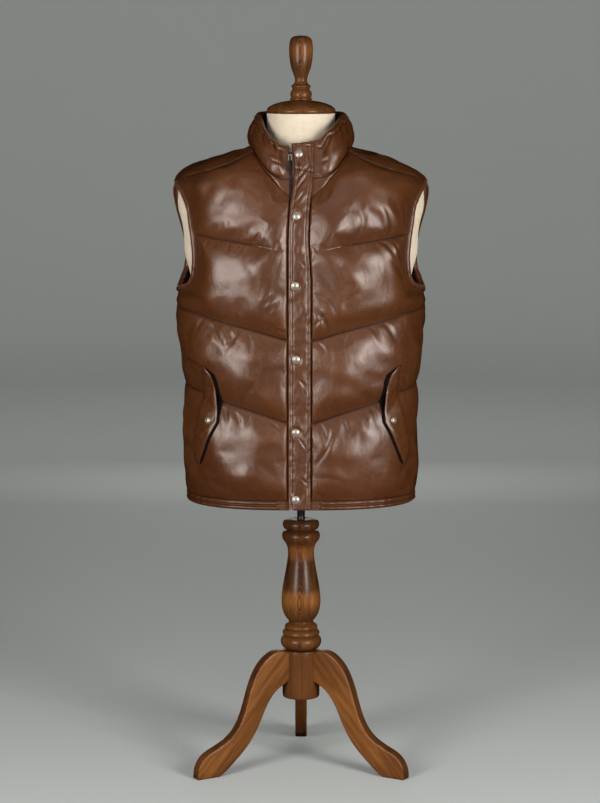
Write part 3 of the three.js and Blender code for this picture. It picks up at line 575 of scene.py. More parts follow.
# smooth shading that breaks at sharp edges
def creaseEdges(piece, degrees=55):
    bpy.ops.object.select_all(action="DESELECT")
    piece.select_set(True)
    bpy.context.view_layer.objects.active = piece
    bpy.ops.object.shade_smooth_by_angle(angle=math.radians(degrees))


# gives a piece its body, and hides the node it stands for
def fit(piece, node, body="form"):
    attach(piece, body)
    if node:
        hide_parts(node)
    return piece


# from each point to a line of points
def distanceTo(at, line):
    best = np.full(len(at), 1e9)
    for start, end in zip(line[:-1], line[1:]):
        along = end - start
        t = np.clip((at - start) @ along / max(along @ along, 1e-9), 0, 1)
        best = np.minimum(best, np.linalg.norm(at - start - t[:, None] * along, axis=1))
    return best


# ---- the padding of the panels: lengths in millimetres, and shares of them
padding = {
    "seam": 5, "crown": 20.5, "reach": 72, "sideFrom": 0.7, "sideShare": 0.42, "sideSeam": 8.5,
    "groove": 1.3, "grooveWidth": 1.7, "atFly": 0.24, "flyRise": 0.48, "flyStep": 3.2, "lump": 1.5,
    "ripple": 0.5, "fadeTo": 26, "fadeOver": (28, 92), "melt": 4.5, "round": 2.1, "least": 0.8,
    "slant": 0.27, "underArm": 50,
}
bindingWidth, placketMargin, hemTop = 7, 3, 517


# where a panel is sewn down: the quilting seams and its own edges
def panelLines(side, back):
    at = lambda t: side * mix(0, 90, t) if not back else side * mix(90, 180, t)
    t = np.linspace(0, 1, 19)
    lines = [(name, bodyPoint(at(t), height(fromCentre(at(t)))))
             for name, height in zip(("low", "middle", "high"), seamZ)]
    lines.append(("edge", bodyPoint(at(t), 0 * t + hemTop)))
    lines.append(("neck", bodyPoint(at(t), necklineZ(folded(at(t))))))
    upSide = mix(hemTop, armpit, np.linspace(0, 1, 6))
    lines.append(("side", bodyPoint(side * 90 + 0 * upSide, upSide)))
    armholeEdge = armholeBack if back else armholeFront
    upArm = mix(armpit, shoulderTip, np.linspace(0, 1, 22))
    lines.append(("bound", bodyPoint(side * armholeEdge(upArm), upArm)))
    above = mix(shoulderTip, shoulderNeck, np.linspace(0, 1, 7))
    lines.append(("shoulder", bodyPoint(side * shoulderTurn(above), above)))
    if not back:
        upFly = mix(hemTop, necklineZ(0), np.linspace(0, 1, 14))
        edge = placketLeft(upFly) + placketMargin if side > 0 else placketRight(upFly) - placketMargin
        lines.append(("fly", bodyPoint(turnAtX(edge, upFly), upFly)))
    return lines


# single creases: from one turn and height to another, how deep and how wide
frontCreases = table(
    "turn z toTurn toZ deep wide",
    (-61, 973, -58, 950, 2.4, 4), (-28, 991, -33, 973, 2.0, 6), (-26, 866, -18, 884, 2.4, 5),
    (-22, 856, -15, 872, 2.0, 4), (41, 1022, 38, 986, 2.2, 8), (52, 1032, 54.5, 990, 2.4, 6),
    (62, 1040, 61.7, 1000, 1.8, 4), (49.5, 978, 56, 948, 3.0, 5), (54.5, 977, 59, 942, 2.4, 4),
    (54, 940, 62.5, 890, 2.2, 7), (10.7, 860, 19.6, 818, 3.4, 6), (9.6, 827, 17, 852, 2.2, 4),
    (19, 876, 25, 848, 2.2, 6), (29, 868, 37, 892, 1.8, 6), (-55, 828, -50, 803, 2.8, 5),
    (-48, 829, -43, 797, 2.8, 6), (-41, 823, -46.5, 788, 2.6, 6), (-53, 812, -46, 784, 2.2, 5),
    (-17.5, 824, -10, 815, 1.8, 3.5), (-36, 816, -33, 790, 1.8, 6), (10.8, 801, 17, 784, 3.0, 5),
    (43, 832, 48, 814, 2.6, 5), (51, 837, 56, 806, 2.8, 5), (45.5, 823, 49.5, 796, 2.2, 5),
    (33, 818, 30, 796, 1.8, 6), (-49.5, 681, -46.5, 648, 2.4, 5), (-44, 676, -39.5, 649, 2.2, 5),
    (-35, 670, -37, 648, 1.6, 5), (-22.5, 659, -15, 642, 2.4, 4), (13, 659, 18, 624, 2.6, 5),
    (22, 642, 12, 586, 2.4, 5), (45, 688, 48, 658, 2.4, 5), (39.5, 676, 42.5, 648, 2.0, 5),
    (28, 664, 31, 640, 1.6, 6), (62.7, 733, 68.5, 702, 2.0, 5), (69, 716, 65.5, 692, 1.8, 4),
    (-71, 763, -59.5, 753, 2.4, 4), (12, 560, 30, 552, 1.4, 7), (-60, 640, -72, 600, 1.4, 8),
    (60, 560, 70, 590, 1.4, 8), (24, 930, 30, 900, 1.4, 10), (-34, 935, -28, 905, 1.4, 9))


# the back's own creases, thrown along its seams
def backCreases():
    dice = np.random.default_rng(61)
    rows = []
    for height in seamZ:
        for turn in dice.uniform(98, 262, 13):
            top = float(height(fromCentre(turn))) - 6
            rows.append((turn, top, turn + dice.uniform(-5, 5), top - dice.uniform(16, 40),
                         dice.uniform(1.4, 2.8), dice.uniform(4, 7)))
    return table("turn z toTurn toZ deep wide", *rows)


# the depth of a panel's single creases, each slightly bowed
def creased(turn, z, back):
    total = np.zeros(turn.shape)
    around = girthFromBack if back else roundBody
    for row in backCreases() if back else frontCreases:
        start = around(row["turn"])
        run = (around(row["toTurn"]) - start, row["toZ"] - row["z"])
        total += creaseAt(around(turn) - start, z - row["z"], run, row, late=0.55, proud=0.55, bow=0.06)
    return total


# short gathers that run off a seam: fine at the thread, wider and softer farther out
def puckers(around, rise, near, seed, strength=1.0):
    total = np.zeros(around.shape)
    for step, (length, deep, reach) in enumerate(((11, 0.75, 9), (21, 1.35, 22), (40, 1.5, 40))):
        along = waves(seed + step, length, 2, 14)
        wave = along(np.stack([around, 0.22 * rise], -1))
        gather = 0.62 - 1.5 * np.exp(-(wave / 0.42) ** 2)
        patch = 0.25 + 0.75 * smooth(waves(seed + 7 + step, 4.5 * length, 1, 9)(around[:, None]), -0.7, 0.9)
        total += strength * deep * patch * gather * np.exp(-near / reach) * smooth(near, 0.5, 0.3 * reach)
    return total


seamOrder = {"low": 0, "middle": 1, "high": 2}


# how far the leather stands off the plain inner face, and how near its sewing lines are
def padSurface(turn, z, side, back, gathers=1.0, folding=1.0):
    shape = turn.shape
    flatTurn, flatZ = turn.ravel(), z.ravel()
    at = bodyPoint(flatTurn, flatZ)
    around = girthFromBack(flatTurn) if back else roundBody(flatTurn)
    lines = panelLines(1, back) + panelLines(-1, back) if back else panelLines(side, back)
    inverse, pucker, underFly = np.zeros(len(at)), np.zeros(len(at)), np.zeros(len(at))
    seamNear, sewn = np.full(len(at), 1e9), np.full(len(at), 1e9)
    for number, (kind, line) in enumerate(lines):
        away = distanceTo(at, line)
        if kind == "bound":
            away = np.maximum(away - bindingWidth, 0)
        if kind == "fly":
            off = (at[:, 0] - placketLeft(flatZ)) if side > 0 else (placketRight(flatZ) - at[:, 0])
            underFly = 1 - smooth(off, 0.3, padding["flyStep"])
            away = padding["reach"] * padding["atFly"] + np.maximum(off, 0) * padding["flyRise"]
        if kind == "high" and not back:  # this seam dies away before it gets to the fly
            away = away + padding["fadeTo"] * (1 - smooth(np.abs(at[:, 0]), *padding["fadeOver"]))
        inverse += (away + padding["least"]) ** -padding["melt"]
        seamNear = np.minimum(seamNear, away)
        if kind in seamOrder:
            sewn = np.minimum(sewn, away)
            rise = flatZ - seamZ[seamOrder[kind]](fromCentre(flatTurn))
            slant = padding["slant"] * np.sign(np.sin(np.radians(flatTurn))) * (-1 if back else 1)
            pucker += puckers(around + slant * rise, rise, away, 100 + 10 * number + int(back))
        elif kind == "bound":
            pucker += puckers(flatZ, away, away, 200 + number, 0.4)
        elif kind in ("side", "shoulder"):
            sewn = np.minimum(sewn, away)
        elif kind == "fly":
            sewn = np.minimum(sewn, np.abs(off - 0.6) * 1.3)
    near = np.clip((inverse ** (-1 / padding["melt"]) - padding["least"]) / padding["reach"], 0, 1)
    aside = smooth(np.abs(at[:, 0]) / halfWidth(flatZ), padding["sideFrom"], 1)
    below = 1 - smooth(flatZ, armpit - padding["underArm"], armpit)
    base = mix(padding["seam"], padding["sideSeam"], aside * below)
    crown = padding["crown"] * mix(1, padding["sideShare"], aside) * (1 - (1 - near) ** padding["round"])
    loose = smooth(near, 0.05, 0.6)
    lumps = padding["lump"] * waves(11 + int(back), 88)(at) + padding["ripple"] * waves(31, 34)(at)
    extra = gathers * pucker + loose * lumps
    extra += folding * creased(flatTurn, flatZ, back) * smooth(seamNear, 1, 9)
    groove = padding["groove"] * np.exp(-(sewn / padding["grooveWidth"]) ** 2)
    thick = base + crown + extra * smooth(seamNear, 0, 5) - groove
    return mix(thick, padding["seam"] - 0.3, underFly).reshape(shape), sewn.reshape(shape)


bandRows = [(53, 0.55), (51, 0.55), (55, 0.55), (72, 0.35)]  # rows, and how they crowd at the seams


# the turn and height of each point of a panel, with a row along every seam
def panelPlaces(turnOf, columnCount):
    rows = []
    for band, (count, crowd) in enumerate(bandRows):
        for i in range(count):
            t = i / count
            rows.append((band, mix(t, (1 - math.cos(math.pi * t)) / 2, crowd)))
    rows.append((len(bandRows) - 1, 1.0))
    band = np.array([row[0] for row in rows])[:, None]
    share = np.array([row[1] for row in rows])[:, None]
    u = np.linspace(0, 1, columnCount)[None, :]
    z = np.full((len(rows), columnCount), 800.0)
    turn = turnOf(u, z)
    for _ in range(36):
        turn = mix(turn, turnOf(u, z), 0.5)
        edges = np.stack([np.full(turn.shape, hemTop + 0.3), *[height(fromCentre(turn)) for height in seamZ],
                          necklineZ(folded(turn)) - 0.3])
        low = np.take_along_axis(edges, np.broadcast_to(band, turn.shape)[None], 0)[0]
        high = np.take_along_axis(edges, np.broadcast_to(band + 1, turn.shape)[None], 0)[0]
        z = mix(low, high, share)
    return turn, z


settling = {"frames": 14, "gathered": 30, "most": 7, "grip": 1.15, "gripWidth": 3, "thinnest": 2}
clothing = {
    "quality": 5, "mass": 0.35, "tension_stiffness": 60, "compression_stiffness": 60,
    "shear_stiffness": 36, "bending_stiffness": 16, "tension_damping": 14, "compression_damping": 14,
    "shear_damping": 14, "air_damping": 4, "vertex_group_mass": "pins", "pin_stiffness": 1,
    "use_pressure": True, "uniform_pressure_force": 3.5, "vertex_group_shrink": "gathers",
    "shrink_min": -0.003, "shrink_max": -0.022,
}


# lets a grid of leather settle as cloth under the filling's pressure, held where it is sewn
def settled(surface, held, spare):
    rows, columns = surface.shape[:2]
    index = np.arange(rows * columns).reshape(rows, columns)
    faces = np.stack([index[:-1, :-1].ravel(), index[:-1, 1:].ravel(), index[1:, 1:].ravel(),
                      index[1:, :-1].ravel()], -1)
    sheet = newMesh("settling", surface, faces, ["leather"])
    pins = sheet.vertex_groups.new(name="pins")
    gathers = sheet.vertex_groups.new(name="gathers")
    for group, weights in ((pins, held.ravel()), (gathers, spare.ravel())):
        for i in np.nonzero(weights > 0.001)[0]:
            group.add([int(i)], float(weights[i]), "REPLACE")
    cloth = sheet.modifiers.new("cloth", "CLOTH")
    for key, value in clothing.items():
        setattr(cloth.settings, key, value)
    cloth.settings.effector_weights.gravity = 0
    cloth.point_cache.frame_start, cloth.point_cache.frame_end = 1, settling["frames"]
    for step in range(1, settling["frames"] + 1):
        bpy.context.scene.frame_set(step)
    shown = sheet.evaluated_get(bpy.context.evaluated_depsgraph_get()).data
    flat = np.empty(3 * len(shown.vertices))
    shown.vertices.foreach_get("co", flat)
    after = (flat.reshape(surface.shape) - np.array((0, axisY, 0))) / mm
    bpy.data.objects.remove(sheet)
    bpy.context.scene.frame_set(1)
    shift = after - surface
    size = np.linalg.norm(shift, axis=-1, keepdims=True)
    return surface + shift * np.minimum(1, settling["most"] / np.maximum(size, 1e-6))


pocketArea = {"front": (49, 51), "side": (67, 70), "low": (566, 574), "high": (760, 768)}


# a panel in its final shape: padded, gathered and creased, then settled
def puffedPanel(name, node, turnOf, columnCount, side, back=False):
    turn, z = panelPlaces(turnOf, columnCount)
    thick, sewn = padSurface(turn, z, side, back, *(((0.25, 0.6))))
    normal = normalOf(bodyPoint, turn, z, 0.5)
    inner = bodyPoint(turn, z)
    outer = inner + normal * thick[..., None]
    held = np.clip(settling["grip"] - sewn / settling["gripWidth"], 0, 1)
    held[:2], held[-2:], held[:, :2], held[:, -2:] = 1, 1, 1, 1
    if not back:  # the parts under the fly and round the pocket stay as they are
        under = (inner[..., 0] < placketLeft(z) + 2) & (inner[..., 0] > placketRight(z) - 2)
        held[under] = 1
        pocket = smooth(fromCentre(turn), *pocketArea["front"])
        pocket *= 1 - smooth(fromCentre(turn), *pocketArea["side"])
        pocket *= smooth(z, *pocketArea["low"]) * (1 - smooth(z, *pocketArea["high"]))
        held = np.maximum(held, pocket)
    spare = np.zeros(z.shape)  # the leather is gathered most just under each seam
    for height in seamZ:
        drop = height(fromCentre(turn)) - z
        spare = np.maximum(spare, np.exp(-np.maximum(drop, -2.5 * drop) / settling["gathered"]))
    outer = settled(outer, held, spare)
    thick = ((outer - inner) * normal).sum(-1)
    outer += normal * np.maximum(settling["thinnest"] - thick, 0)[..., None]
    marks = relief(thick)
    # painted shade along the sewing lines of the quilting seams and edges
    marks["hollow"] = np.maximum(marks["hollow"], np.exp(-(sewn / 1.3) ** 2))
    piece = wall(name, outer, inner, ["leather", "lining"], attributes=marks)
    creaseEdges(piece)
    return fit(piece, node)


zipX, zipHalf = -17.5, 3.2


def frontTurns(side):
    zipEdge = zipX + side * (zipHalf + 0.2)
    return lambda u, z: mix(turnAtX(zipEdge, z), side * (frontEdge(z) - 0.3), u if side > 0 else 1 - u)


puffedPanel("puffedFrontRight", "front_right", frontTurns(-1), 92, -1)
puffedPanel("puffedFrontLeft", "front_left", frontTurns(1), 100, 1)
puffedPanel("puffedBack", "back",
            lambda u, z: mix(backEdge(z) + 0.3, 360 - backEdge(z) - 0.3, u), 196, 1, back=True)
print("panels sewn")


# ---- hem, armhole bindings and collar
hemBand = {"bottom": 500, "seam": 5, "ridge": 9.4, "columns": 420, "rows": 26, "flat": 18}


def hemTurns(u, z):
    return mix(turnAtX(zipX + zipHalf + 0.3, z), turnAtX(zipX - zipHalf - 0.3, z) + 360, u)


# how far a point is beside the fly
def fromPlacket(at):
    outside = np.maximum(placketRight(at[..., 2]) - at[..., 0], at[..., 0] - placketLeft(at[..., 2]))
    return np.where(at[..., 1] > 0, 1e3, outside)


v, u = grid(hemBand["rows"], hemBand["columns"])
z = mix(hemBand["bottom"], hemTop - 0.2, v)
turn = hemTurns(u, z)
plain = bodyPoint(turn, z)
ridge = np.abs(np.sin(2 * math.pi * v)) ** 0.62
around = girthFromBack(turn % 360)[..., None]
gathers = 0.5 * waves(71, 15, 1)(around) + 0.5 * waves(72, 48, 1)(around)
proud = hemBand["seam"] - 1.2 + (hemBand["ridge"] - hemBand["seam"] + 1.2 + 0.5 * gathers) * ridge
proud = np.where(fromPlacket(plain) < hemBand["flat"], np.minimum(proud, hemBand["seam"]), proud)
hemSurface = plain + normalOf(bodyPoint, turn, z, 0.5) * proud[..., None]
hem = wall("stitchedHem", hemSurface, plain, ["leather", "lining"], attributes=relief(proud))
creaseEdges(hem)
fit(hem, "hem_band")

# each pair is across the edge and off the panel
edging = {
    "stops": 110, "ring": 18, "middle": (3.2, 3.7), "half": (4.3, 4.7), "square": 2.6,
    "stitched": (0.62, 0.92), "proud": 6.5,
}


# the armhole's edge, with the way off the panel and the way into it at each point
def armholeRail(side):
    stops = edging["stops"]
    level = lambda i: mix(armpit, shoulderTip, (1 - np.cos(math.pi * i / stops)) / 2)
    up, down = np.arange(stops), stops - np.arange(stops)
    z = np.concatenate([level(down), level(up)])
    turn = side * np.concatenate([armholeFront(level(down)), armholeBack(level(up))])
    at = bodyPoint(turn, z)
    normal = normalOf(bodyPoint, turn, z, 0.5)
    onward = np.roll(at, -1, 0) - np.roll(at, 1, 0)
    return at, normal, unit(np.cross(onward, normal)) * -side


for side, word in ((-1, "right"), (1, "left")):
    at, normal, outward = armholeRail(side)
    angle = np.linspace(0, 2 * math.pi, edging["ring"], endpoint=False)[:, None]
    bulge = lambda wave: np.sign(wave) * np.abs(wave) ** (2 / edging["square"])
    swell = 1 + 0.05 * waves(81, 13)(at)[None, :]
    across = edging["middle"][0] + edging["half"][0] * bulge(np.cos(angle)) * swell
    lift = edging["middle"][1] + edging["half"][1] * bulge(np.sin(angle)) * swell
    ring = at[None] + outward[None] * across[..., None] + normal[None] * lift[..., None]
    count, stops = ring.shape[:2]
    index = np.arange(count * stops).reshape(count, stops)
    over, on = np.roll(index, -1, 0), np.roll(index, -1, 1)
    faces = np.stack([index.ravel(), on.ravel(), np.roll(over, -1, 1).ravel(), over.ravel()], -1)
    if side < 0:
        faces = faces[:, ::-1]
    marks = {"hollow": np.zeros(lift.size), "crest": 0.5 * (lift > edging["proud"]).ravel()}
    binding = newMesh(f"armholeBinding_{word}", ring, faces, ["edging"], attributes=marks)
    fit(binding, f"binding_{word}")

collar = {
    "seam": 5, "channel": 9, "roll": 16.5, "crest": 0.45, "flat": 11, "fade": 18,
    "columns": 300, "low": 16, "high": 44, "rim": 9, "radius": 85, "height": 75, "last": 66,
}
collarCreases = table(
    "turn height toTurn toHeight deep wide",
    (-34, 0.98, -24, 0.72, 2.4, 4), (-52, 0.95, -40, 0.62, 2.0, 5), (-22, 0.95, -17, 0.62, 2.2, 4),
    (-66, 0.9, -60, 0.5, 1.6, 6), (22, 0.98, 25, 0.6, 2.4, 4), (36, 0.97, 27, 0.7, 2.2, 4),
    (52, 0.92, 44, 0.55, 1.8, 6), (66, 0.8, 60, 0.4, 1.4, 6), (16, 0.6, 26, 0.42, 2.0, 4),
    (-17, 0.55, -30, 0.4, 1.8, 4), (-96, 0.9, -90, 0.4, 1.6, 7), (98, 0.9, 92, 0.45, 1.6, 7),
    (140, 0.9, 147, 0.4, 1.6, 7), (-150, 0.9, -144, 0.4, 1.6, 7), (180, 0.85, 175, 0.35, 1.4, 7))


def collarTurns(u, height):
    start = collarTurnAtX(zipX + zipHalf + 0 * height, height)
    end = collarTurnAtX(zipX - zipHalf + 0 * height, height) + 360
    return mix(start, end, u)


seamShare = track(collarSeam, "share", "turn")
u = np.linspace(0, 1, collar["columns"])[None, :]
middleTurn = collarTurns(u, np.full(u.shape, 0.5))
share = seamShare(folded(middleTurn))
lowRows = np.linspace(0, 1, collar["low"], endpoint=False)[:, None] * share
highRows = mix(share, 1, np.linspace(0, 1, collar["high"])[:, None])
height = np.concatenate([lowRows, highRows])
turn = collarTurns(np.broadcast_to(u, height.shape), height)
plain = collarPoint(turn, height)
share = seamShare(folded(turn))
lowPart = np.sin(math.pi * np.clip(height / share, 0, 1)) ** 0.8
upPart = np.clip((height - share) / (1 - share), 0, 1)
arc = np.where(upPart < collar["crest"], upPart / collar["crest"] * 90,
               90 + (upPart - collar["crest"]) / (1 - collar["crest"]) * collar["last"])
roll = np.sin(np.radians(arc)) ** 0.8
free = smooth(fromPlacket(plain), collar["flat"], collar["flat"] + collar["fade"])
around, up = np.radians(turn) * collar["radius"], height * collar["height"]
dents = np.zeros(turn.shape)
for row in collarCreases:
    run = (math.radians(row["toTurn"] - row["turn"]) * collar["radius"],
           (row["toHeight"] - row["height"]) * collar["height"])
    gap = np.radians((turn - row["turn"] + 180) % 360 - 180) * collar["radius"]
    dents += creaseAt(gap, up - row["height"] * collar["height"], run, row, early=0.1)
seamAway = np.abs(height - share) * collar["height"]
flatAround, flatAway = (around + 0.2 * up).ravel(), seamAway.ravel()
gathers = puckers(flatAround, flatAway, flatAway, 300, 0.55).reshape(turn.shape)
lumps = 0.8 * waves(91, 46)(plain) + 0.3 * waves(92, 20)(plain)
thick = collar["seam"] + np.where(height < share, (collar["channel"] - collar["seam"]) * lowPart,
                                  (collar["roll"] - collar["seam"]) * roll) * (0.12 + 0.88 * free)
thick += (gathers + dents + lumps * np.where(height < share, lowPart, roll)) * (0.3 + 0.7 * free)
thick -= 2.2 * np.exp(-(seamAway / 2.0) ** 2)
# the fold under the rim, at the front and the sides only
onFront = smooth(folded(turn), 14, 24) * (1 - smooth(folded(turn), 88, 112))
wander = 0.028 * waves(93, 30, 1)(around[..., None]) + 0.012 * waves(94, 11, 1)(around[..., None])
underRim = (height - 0.885 - wander) * collar["height"]
thick += onFront * (1.1 * np.exp(-((underRim - 4.5) / 3) ** 2) - 2.3 * np.exp(-(underRim / 1.7) ** 2))
normal = normalOf(collarPoint, turn, height, 0.02)
outer = plain + normal * thick[..., None]
# the rim turns over to the lining in a half round
top, topNormal, topThick = plain[-1], normal[-1], thick[-1][:, None]
upward = unit(plain[-1] - plain[-2])
over = []
for step in range(1, collar["rim"]):
    bend = math.pi * step / collar["rim"]
    over.append(top + topNormal * topThick * (0.5 + 0.5 * math.cos(bend))
                + upward * topThick * 0.42 * math.sin(bend))
outer = np.concatenate([outer, np.stack(over)])
thick = np.concatenate([thick, np.repeat(thick[-1:], collar["rim"] - 1, 0)])
inner = np.concatenate([plain, np.repeat(plain[-1:], collar["rim"] - 1, 0)])
inner[-(collar["rim"] - 1):] += 0.01 * upward * np.arange(1, collar["rim"])[:, None, None]
standCollar = wall("standCollar", outer, inner, ["leather", "lining"], attributes=relief(thick))
creaseEdges(standCollar, 70)
fit(standCollar, "collar")
print("hem, bindings and collar sewn")


# ---- the fly front
fly = {
    "bottom": 504, "top": 1143, "lift": 5.9, "thick": 5.5, "rows": 320, "columns": 34,
    "rightStitch": 7, "leftStitch": 4, "groove": 1.5, "crown": 1.5,
}
snapPlaces = table("z x", (521, -9), (641, -9), (770, -8), (900, -10.5), (1018, -8), (1125, -2))
flyCreases = table(
    "x z toX toZ deep wide",
    (-4, 1082, 12, 1104, 1.9, 2.6), (-8, 1062, 9, 1086, 1.6, 2.8), (-7, 1042, 6, 1060, 1.3, 3),
    (4, 1112, 6, 1136, 1.6, 2.6), (14, 1108, 12, 1138, 1.6, 2.4), (-4, 632, 9, 612, 1.5, 2.6),
    (9, 640, 3, 618, 1.0, 3), (-3, 735, 8, 722, 0.8, 3), (-4, 946, 8, 934, 0.8, 3), (0, 560, 11, 548, 0.9, 3))
v, u = grid(fly["rows"], fly["columns"])
z = mix(fly["bottom"], fly["top"], v)
right, left = placketRight(z), placketLeft(z)
x = mix(right, left, u)
fromRight, fromLeft, fromTop = x - right, left - x, fly["top"] - z
pastRight, pastLeft = fromRight - fly["rightStitch"], fromLeft - fly["leftStitch"]
edgeDrop = 2.4 * (np.exp(-fromRight / 1.1) + np.exp(-fromLeft / 1.1)) + 1.6 * np.exp(-fromTop / 1.4)
stitchLines = sum(np.exp(-(away / 1.3) ** 2) for away in (pastRight, pastLeft, fromTop - 4))
stitchLines += 1.3 * np.exp(-((z - 1098 + 0.2 * x) / 1.6) ** 2)  # where the collar's seam runs under it
puff = np.sin(math.pi * np.clip(pastRight / (pastRight + pastLeft), 0, 1)) ** 0.6
where = np.stack([x, z], -1)
lumps = 0.2 * waves(121, 12, 2)(where) * np.exp(-np.minimum(np.abs(pastRight), np.abs(pastLeft)) / 4)
lumps += 0.45 * waves(122, 42, 2)(where) + 0.2 * waves(123, 17, 2)(where)
dents = np.zeros(x.shape)
for row in flyCreases:
    run = (row["toX"] - row["x"], row["toZ"] - row["z"])
    dents += creaseAt(x - row["x"], z - row["z"], run, row, narrow=0.6)
seats = np.zeros(x.shape)  # the snaps press the fly flat round them
for row in snapPlaces:
    seats = np.maximum(seats, 1 - smooth(np.hypot(x - row["x"], z - row["z"]), 6.5, 12))
puffed = fly["crown"] * puff + lumps + dents - fly["groove"] * stitchLines
thick = fly["thick"] + mix(puffed, 0.2, seats) - edgeDrop
flyX, flyZ = x, z
flySurface = frontPoint(x, z, fly["lift"] + thick)
flyFront = wall("flyFront", flySurface, frontPoint(x, z, fly["lift"] + 0 * thick), ["leather", "edging"],
                attributes=relief(thick))
creaseEdges(flyFront)
fit(flyFront, "placket")
print("fly front sewn")


# ---- pocket flaps, with a near-black strip of painted shadow beside each, where the pocket opens
flapEdges = table(
    "z sewn free mouth",
    (577, 63.6, 62.4, 0), (582, 65.2, 61.8, 1.5), (602, 67, 59, 1.5), (623, 66, 56.3, 1.4),
    (657, 64, 51.9, 1.3), (682, 62.7, 52.2, 1.4), (709, 61.3, 52.9, 1.7), (730, 60, 53.9, 2.3),
    (742, 59.4, 54.9, 2.4), (757, 58.9, 58.2, 0.2))
flap = {
    "thick": 3.4, "seat": 0.8, "low": 8.5, "high": 17.5, "rows": 150, "columns": 34, "droop": 0.9,
    "perTurn": 3.5, "length": 180,
}
mouth = {"rows": 90, "columns": 9, "under": 1.5, "proud": 0.9, "deep": 1.5}


def flapTrack(column):
    rows = [row["z"] for row in flapEdges], [row[column] for row in flapEdges]
    return lambda z: np.interp(z, *rows)


flapSewn, flapFree, slitShadowWidth = flapTrack("sewn"), flapTrack("free"), flapTrack("mouth")
flapSurfaces = {}
for side, word in ((-1, "right"), (1, "left")):
    v, u = grid(flap["rows"], flap["columns"])
    share = 1 - u if side > 0 else u
    z = mix(flapEdges[0]["z"], flapEdges[-1]["z"], v)
    turn = side * mix(flapSewn(z), flapFree(z), share)
    pad = padSurface(turn, z, side, False, 0, 0.6)[0]
    under = np.maximum(pad + flap["seat"], mix(flap["low"], flap["high"], share))
    under = blurred(under, 6)
    width = np.abs(flapSewn(z) - flapFree(z)) * flap["perTurn"]
    sewnEdge, freeEdge = share * width, (1 - share) * width
    ends = np.minimum(v, 1 - v) * flap["length"]
    thick = flap["thick"] * (0.3 + 0.7 * smooth(sewnEdge, 0, 9)) * (0.6 + 0.4 * smooth(ends, 0, 8))
    thick -= flap["droop"] * np.exp(-freeEdge / 1.6)
    cloudy = 0.5 * waves(131, 34)(bodyPoint(turn, z)) + 0.22 * waves(132, 13)(bodyPoint(turn, z))
    thick += cloudy * smooth(np.minimum(sewnEdge, freeEdge), 0, 8)
    normal = normalOf(bodyPoint, turn, z, 0.5)
    base = bodyPoint(turn, z) + normal * under[..., None]
    surface = base + normal * thick[..., None]
    marks = relief(thick)
    # painted shade along the flap's sewn edge
    marks["hollow"] = np.maximum(marks["hollow"], np.exp(-(sewnEdge / 0.9) ** 2))
    piece = wall(f"pocketFlap_{word}", surface, base, ["leather", "edging"], attributes=marks)
    creaseEdges(piece)
    fit(piece, f"pocket_flap_{word}")
    flapSurfaces[side] = (surface, share, z)

    # a near-black strip on the panel outside each flap's free edge: painted shadow for the gap under the flap
    v, u = grid(mouth["rows"], mouth["columns"])
    z = mix(flapEdges[0]["z"], flapEdges[-1]["z"], v)
    outside = flapFree(z) - slitShadowWidth(z)
    turn = side * mix(flapFree(z) + mouth["under"], outside, 1 - u if side > 0 else u)
    lift = padSurface(turn, z, side, False, 0.25, 0.6)[0]
    lift = np.maximum(lift, blurred(lift, 4))
    normal = normalOf(bodyPoint, turn, z, 0.5)
    plain = bodyPoint(turn, z)
    piece = wall(f"pocketSlitShadow_{word}", plain + normal * (lift + mouth["proud"])[..., None],
                 plain + normal * (lift - mouth["deep"])[..., None], ["mouth"])
    fit(piece, None)
print("pocket flaps sewn")


# ---- stitches and zip teeth: one small block after another along a line

# blocks of a length, a width and a height, along lines of points with their normals
def blocks(name, runs, pitch, size, finishName):
    vertices, faces = [], []
    corners = np.array([(a, b, c) for a in (-0.5, 0.5) for b in (-0.5, 0.5) for c in (-0.5, 0.5)])
    sides = np.array([(0, 1, 3, 2), (4, 6, 7, 5), (0, 4, 5, 1), (2, 3, 7, 6), (0, 2, 6, 4), (1, 5, 7, 3)])
    taper = np.where(corners[:, 2:] > 0, 0.72, 1.0)  # each block narrows towards its top
    shape = corners * np.array(size) * np.concatenate([taper, taper, 1 + 0 * taper], 1)
    for line, normals in runs:
        steps = np.linalg.norm(np.diff(line, axis=0), axis=1)
        reached = np.concatenate([[0], np.cumsum(steps)])
        for place in np.arange(pitch / 2, reached[-1], pitch):
            i = min(int(np.searchsorted(reached, place)) - 1, len(line) - 2)
            t = (place - reached[i]) / max(steps[i], 1e-6)
            along, out = unit(line[i + 1] - line[i]), unit(mix(normals[i], normals[i + 1], t))
            faces.extend((sides + 8 * len(vertices)).tolist())
            turned = shape @ np.stack([along, np.cross(out, along), out])
            vertices.append(mix(line[i], line[i + 1], t) + turned)
    return newMesh(name, np.concatenate(vertices), faces, [finishName])


# a line along one row or column of a grid of points, with its normals
def onGrid(surface, row=None, column=None, lift=0.1):
    line = surface[row] if column is None else surface[:, column]
    rows, columns = np.gradient(surface, axis=0), np.gradient(surface, axis=1)
    normals = unit(np.cross(columns, rows))
    normals = normals[row] if column is None else normals[:, column]
    return line + normals * lift, normals


# a line at a fixed distance in from the first column of a grid, or from the last
def inset(surface, fromEdge, width, last=False):
    rows, columns = surface.shape[:2]
    share = 1 - fromEdge / width if last else fromEdge / width
    place = np.clip(share * (columns - 1), 0, columns - 1.001)
    low = place.astype(int)
    t = (place - low)[:, None]
    index = np.arange(rows)
    line = mix(surface[index, low], surface[index, low + 1], t)
    _, normals = onGrid(surface, column=columns // 2)
    return line + normals * 0.15, normals


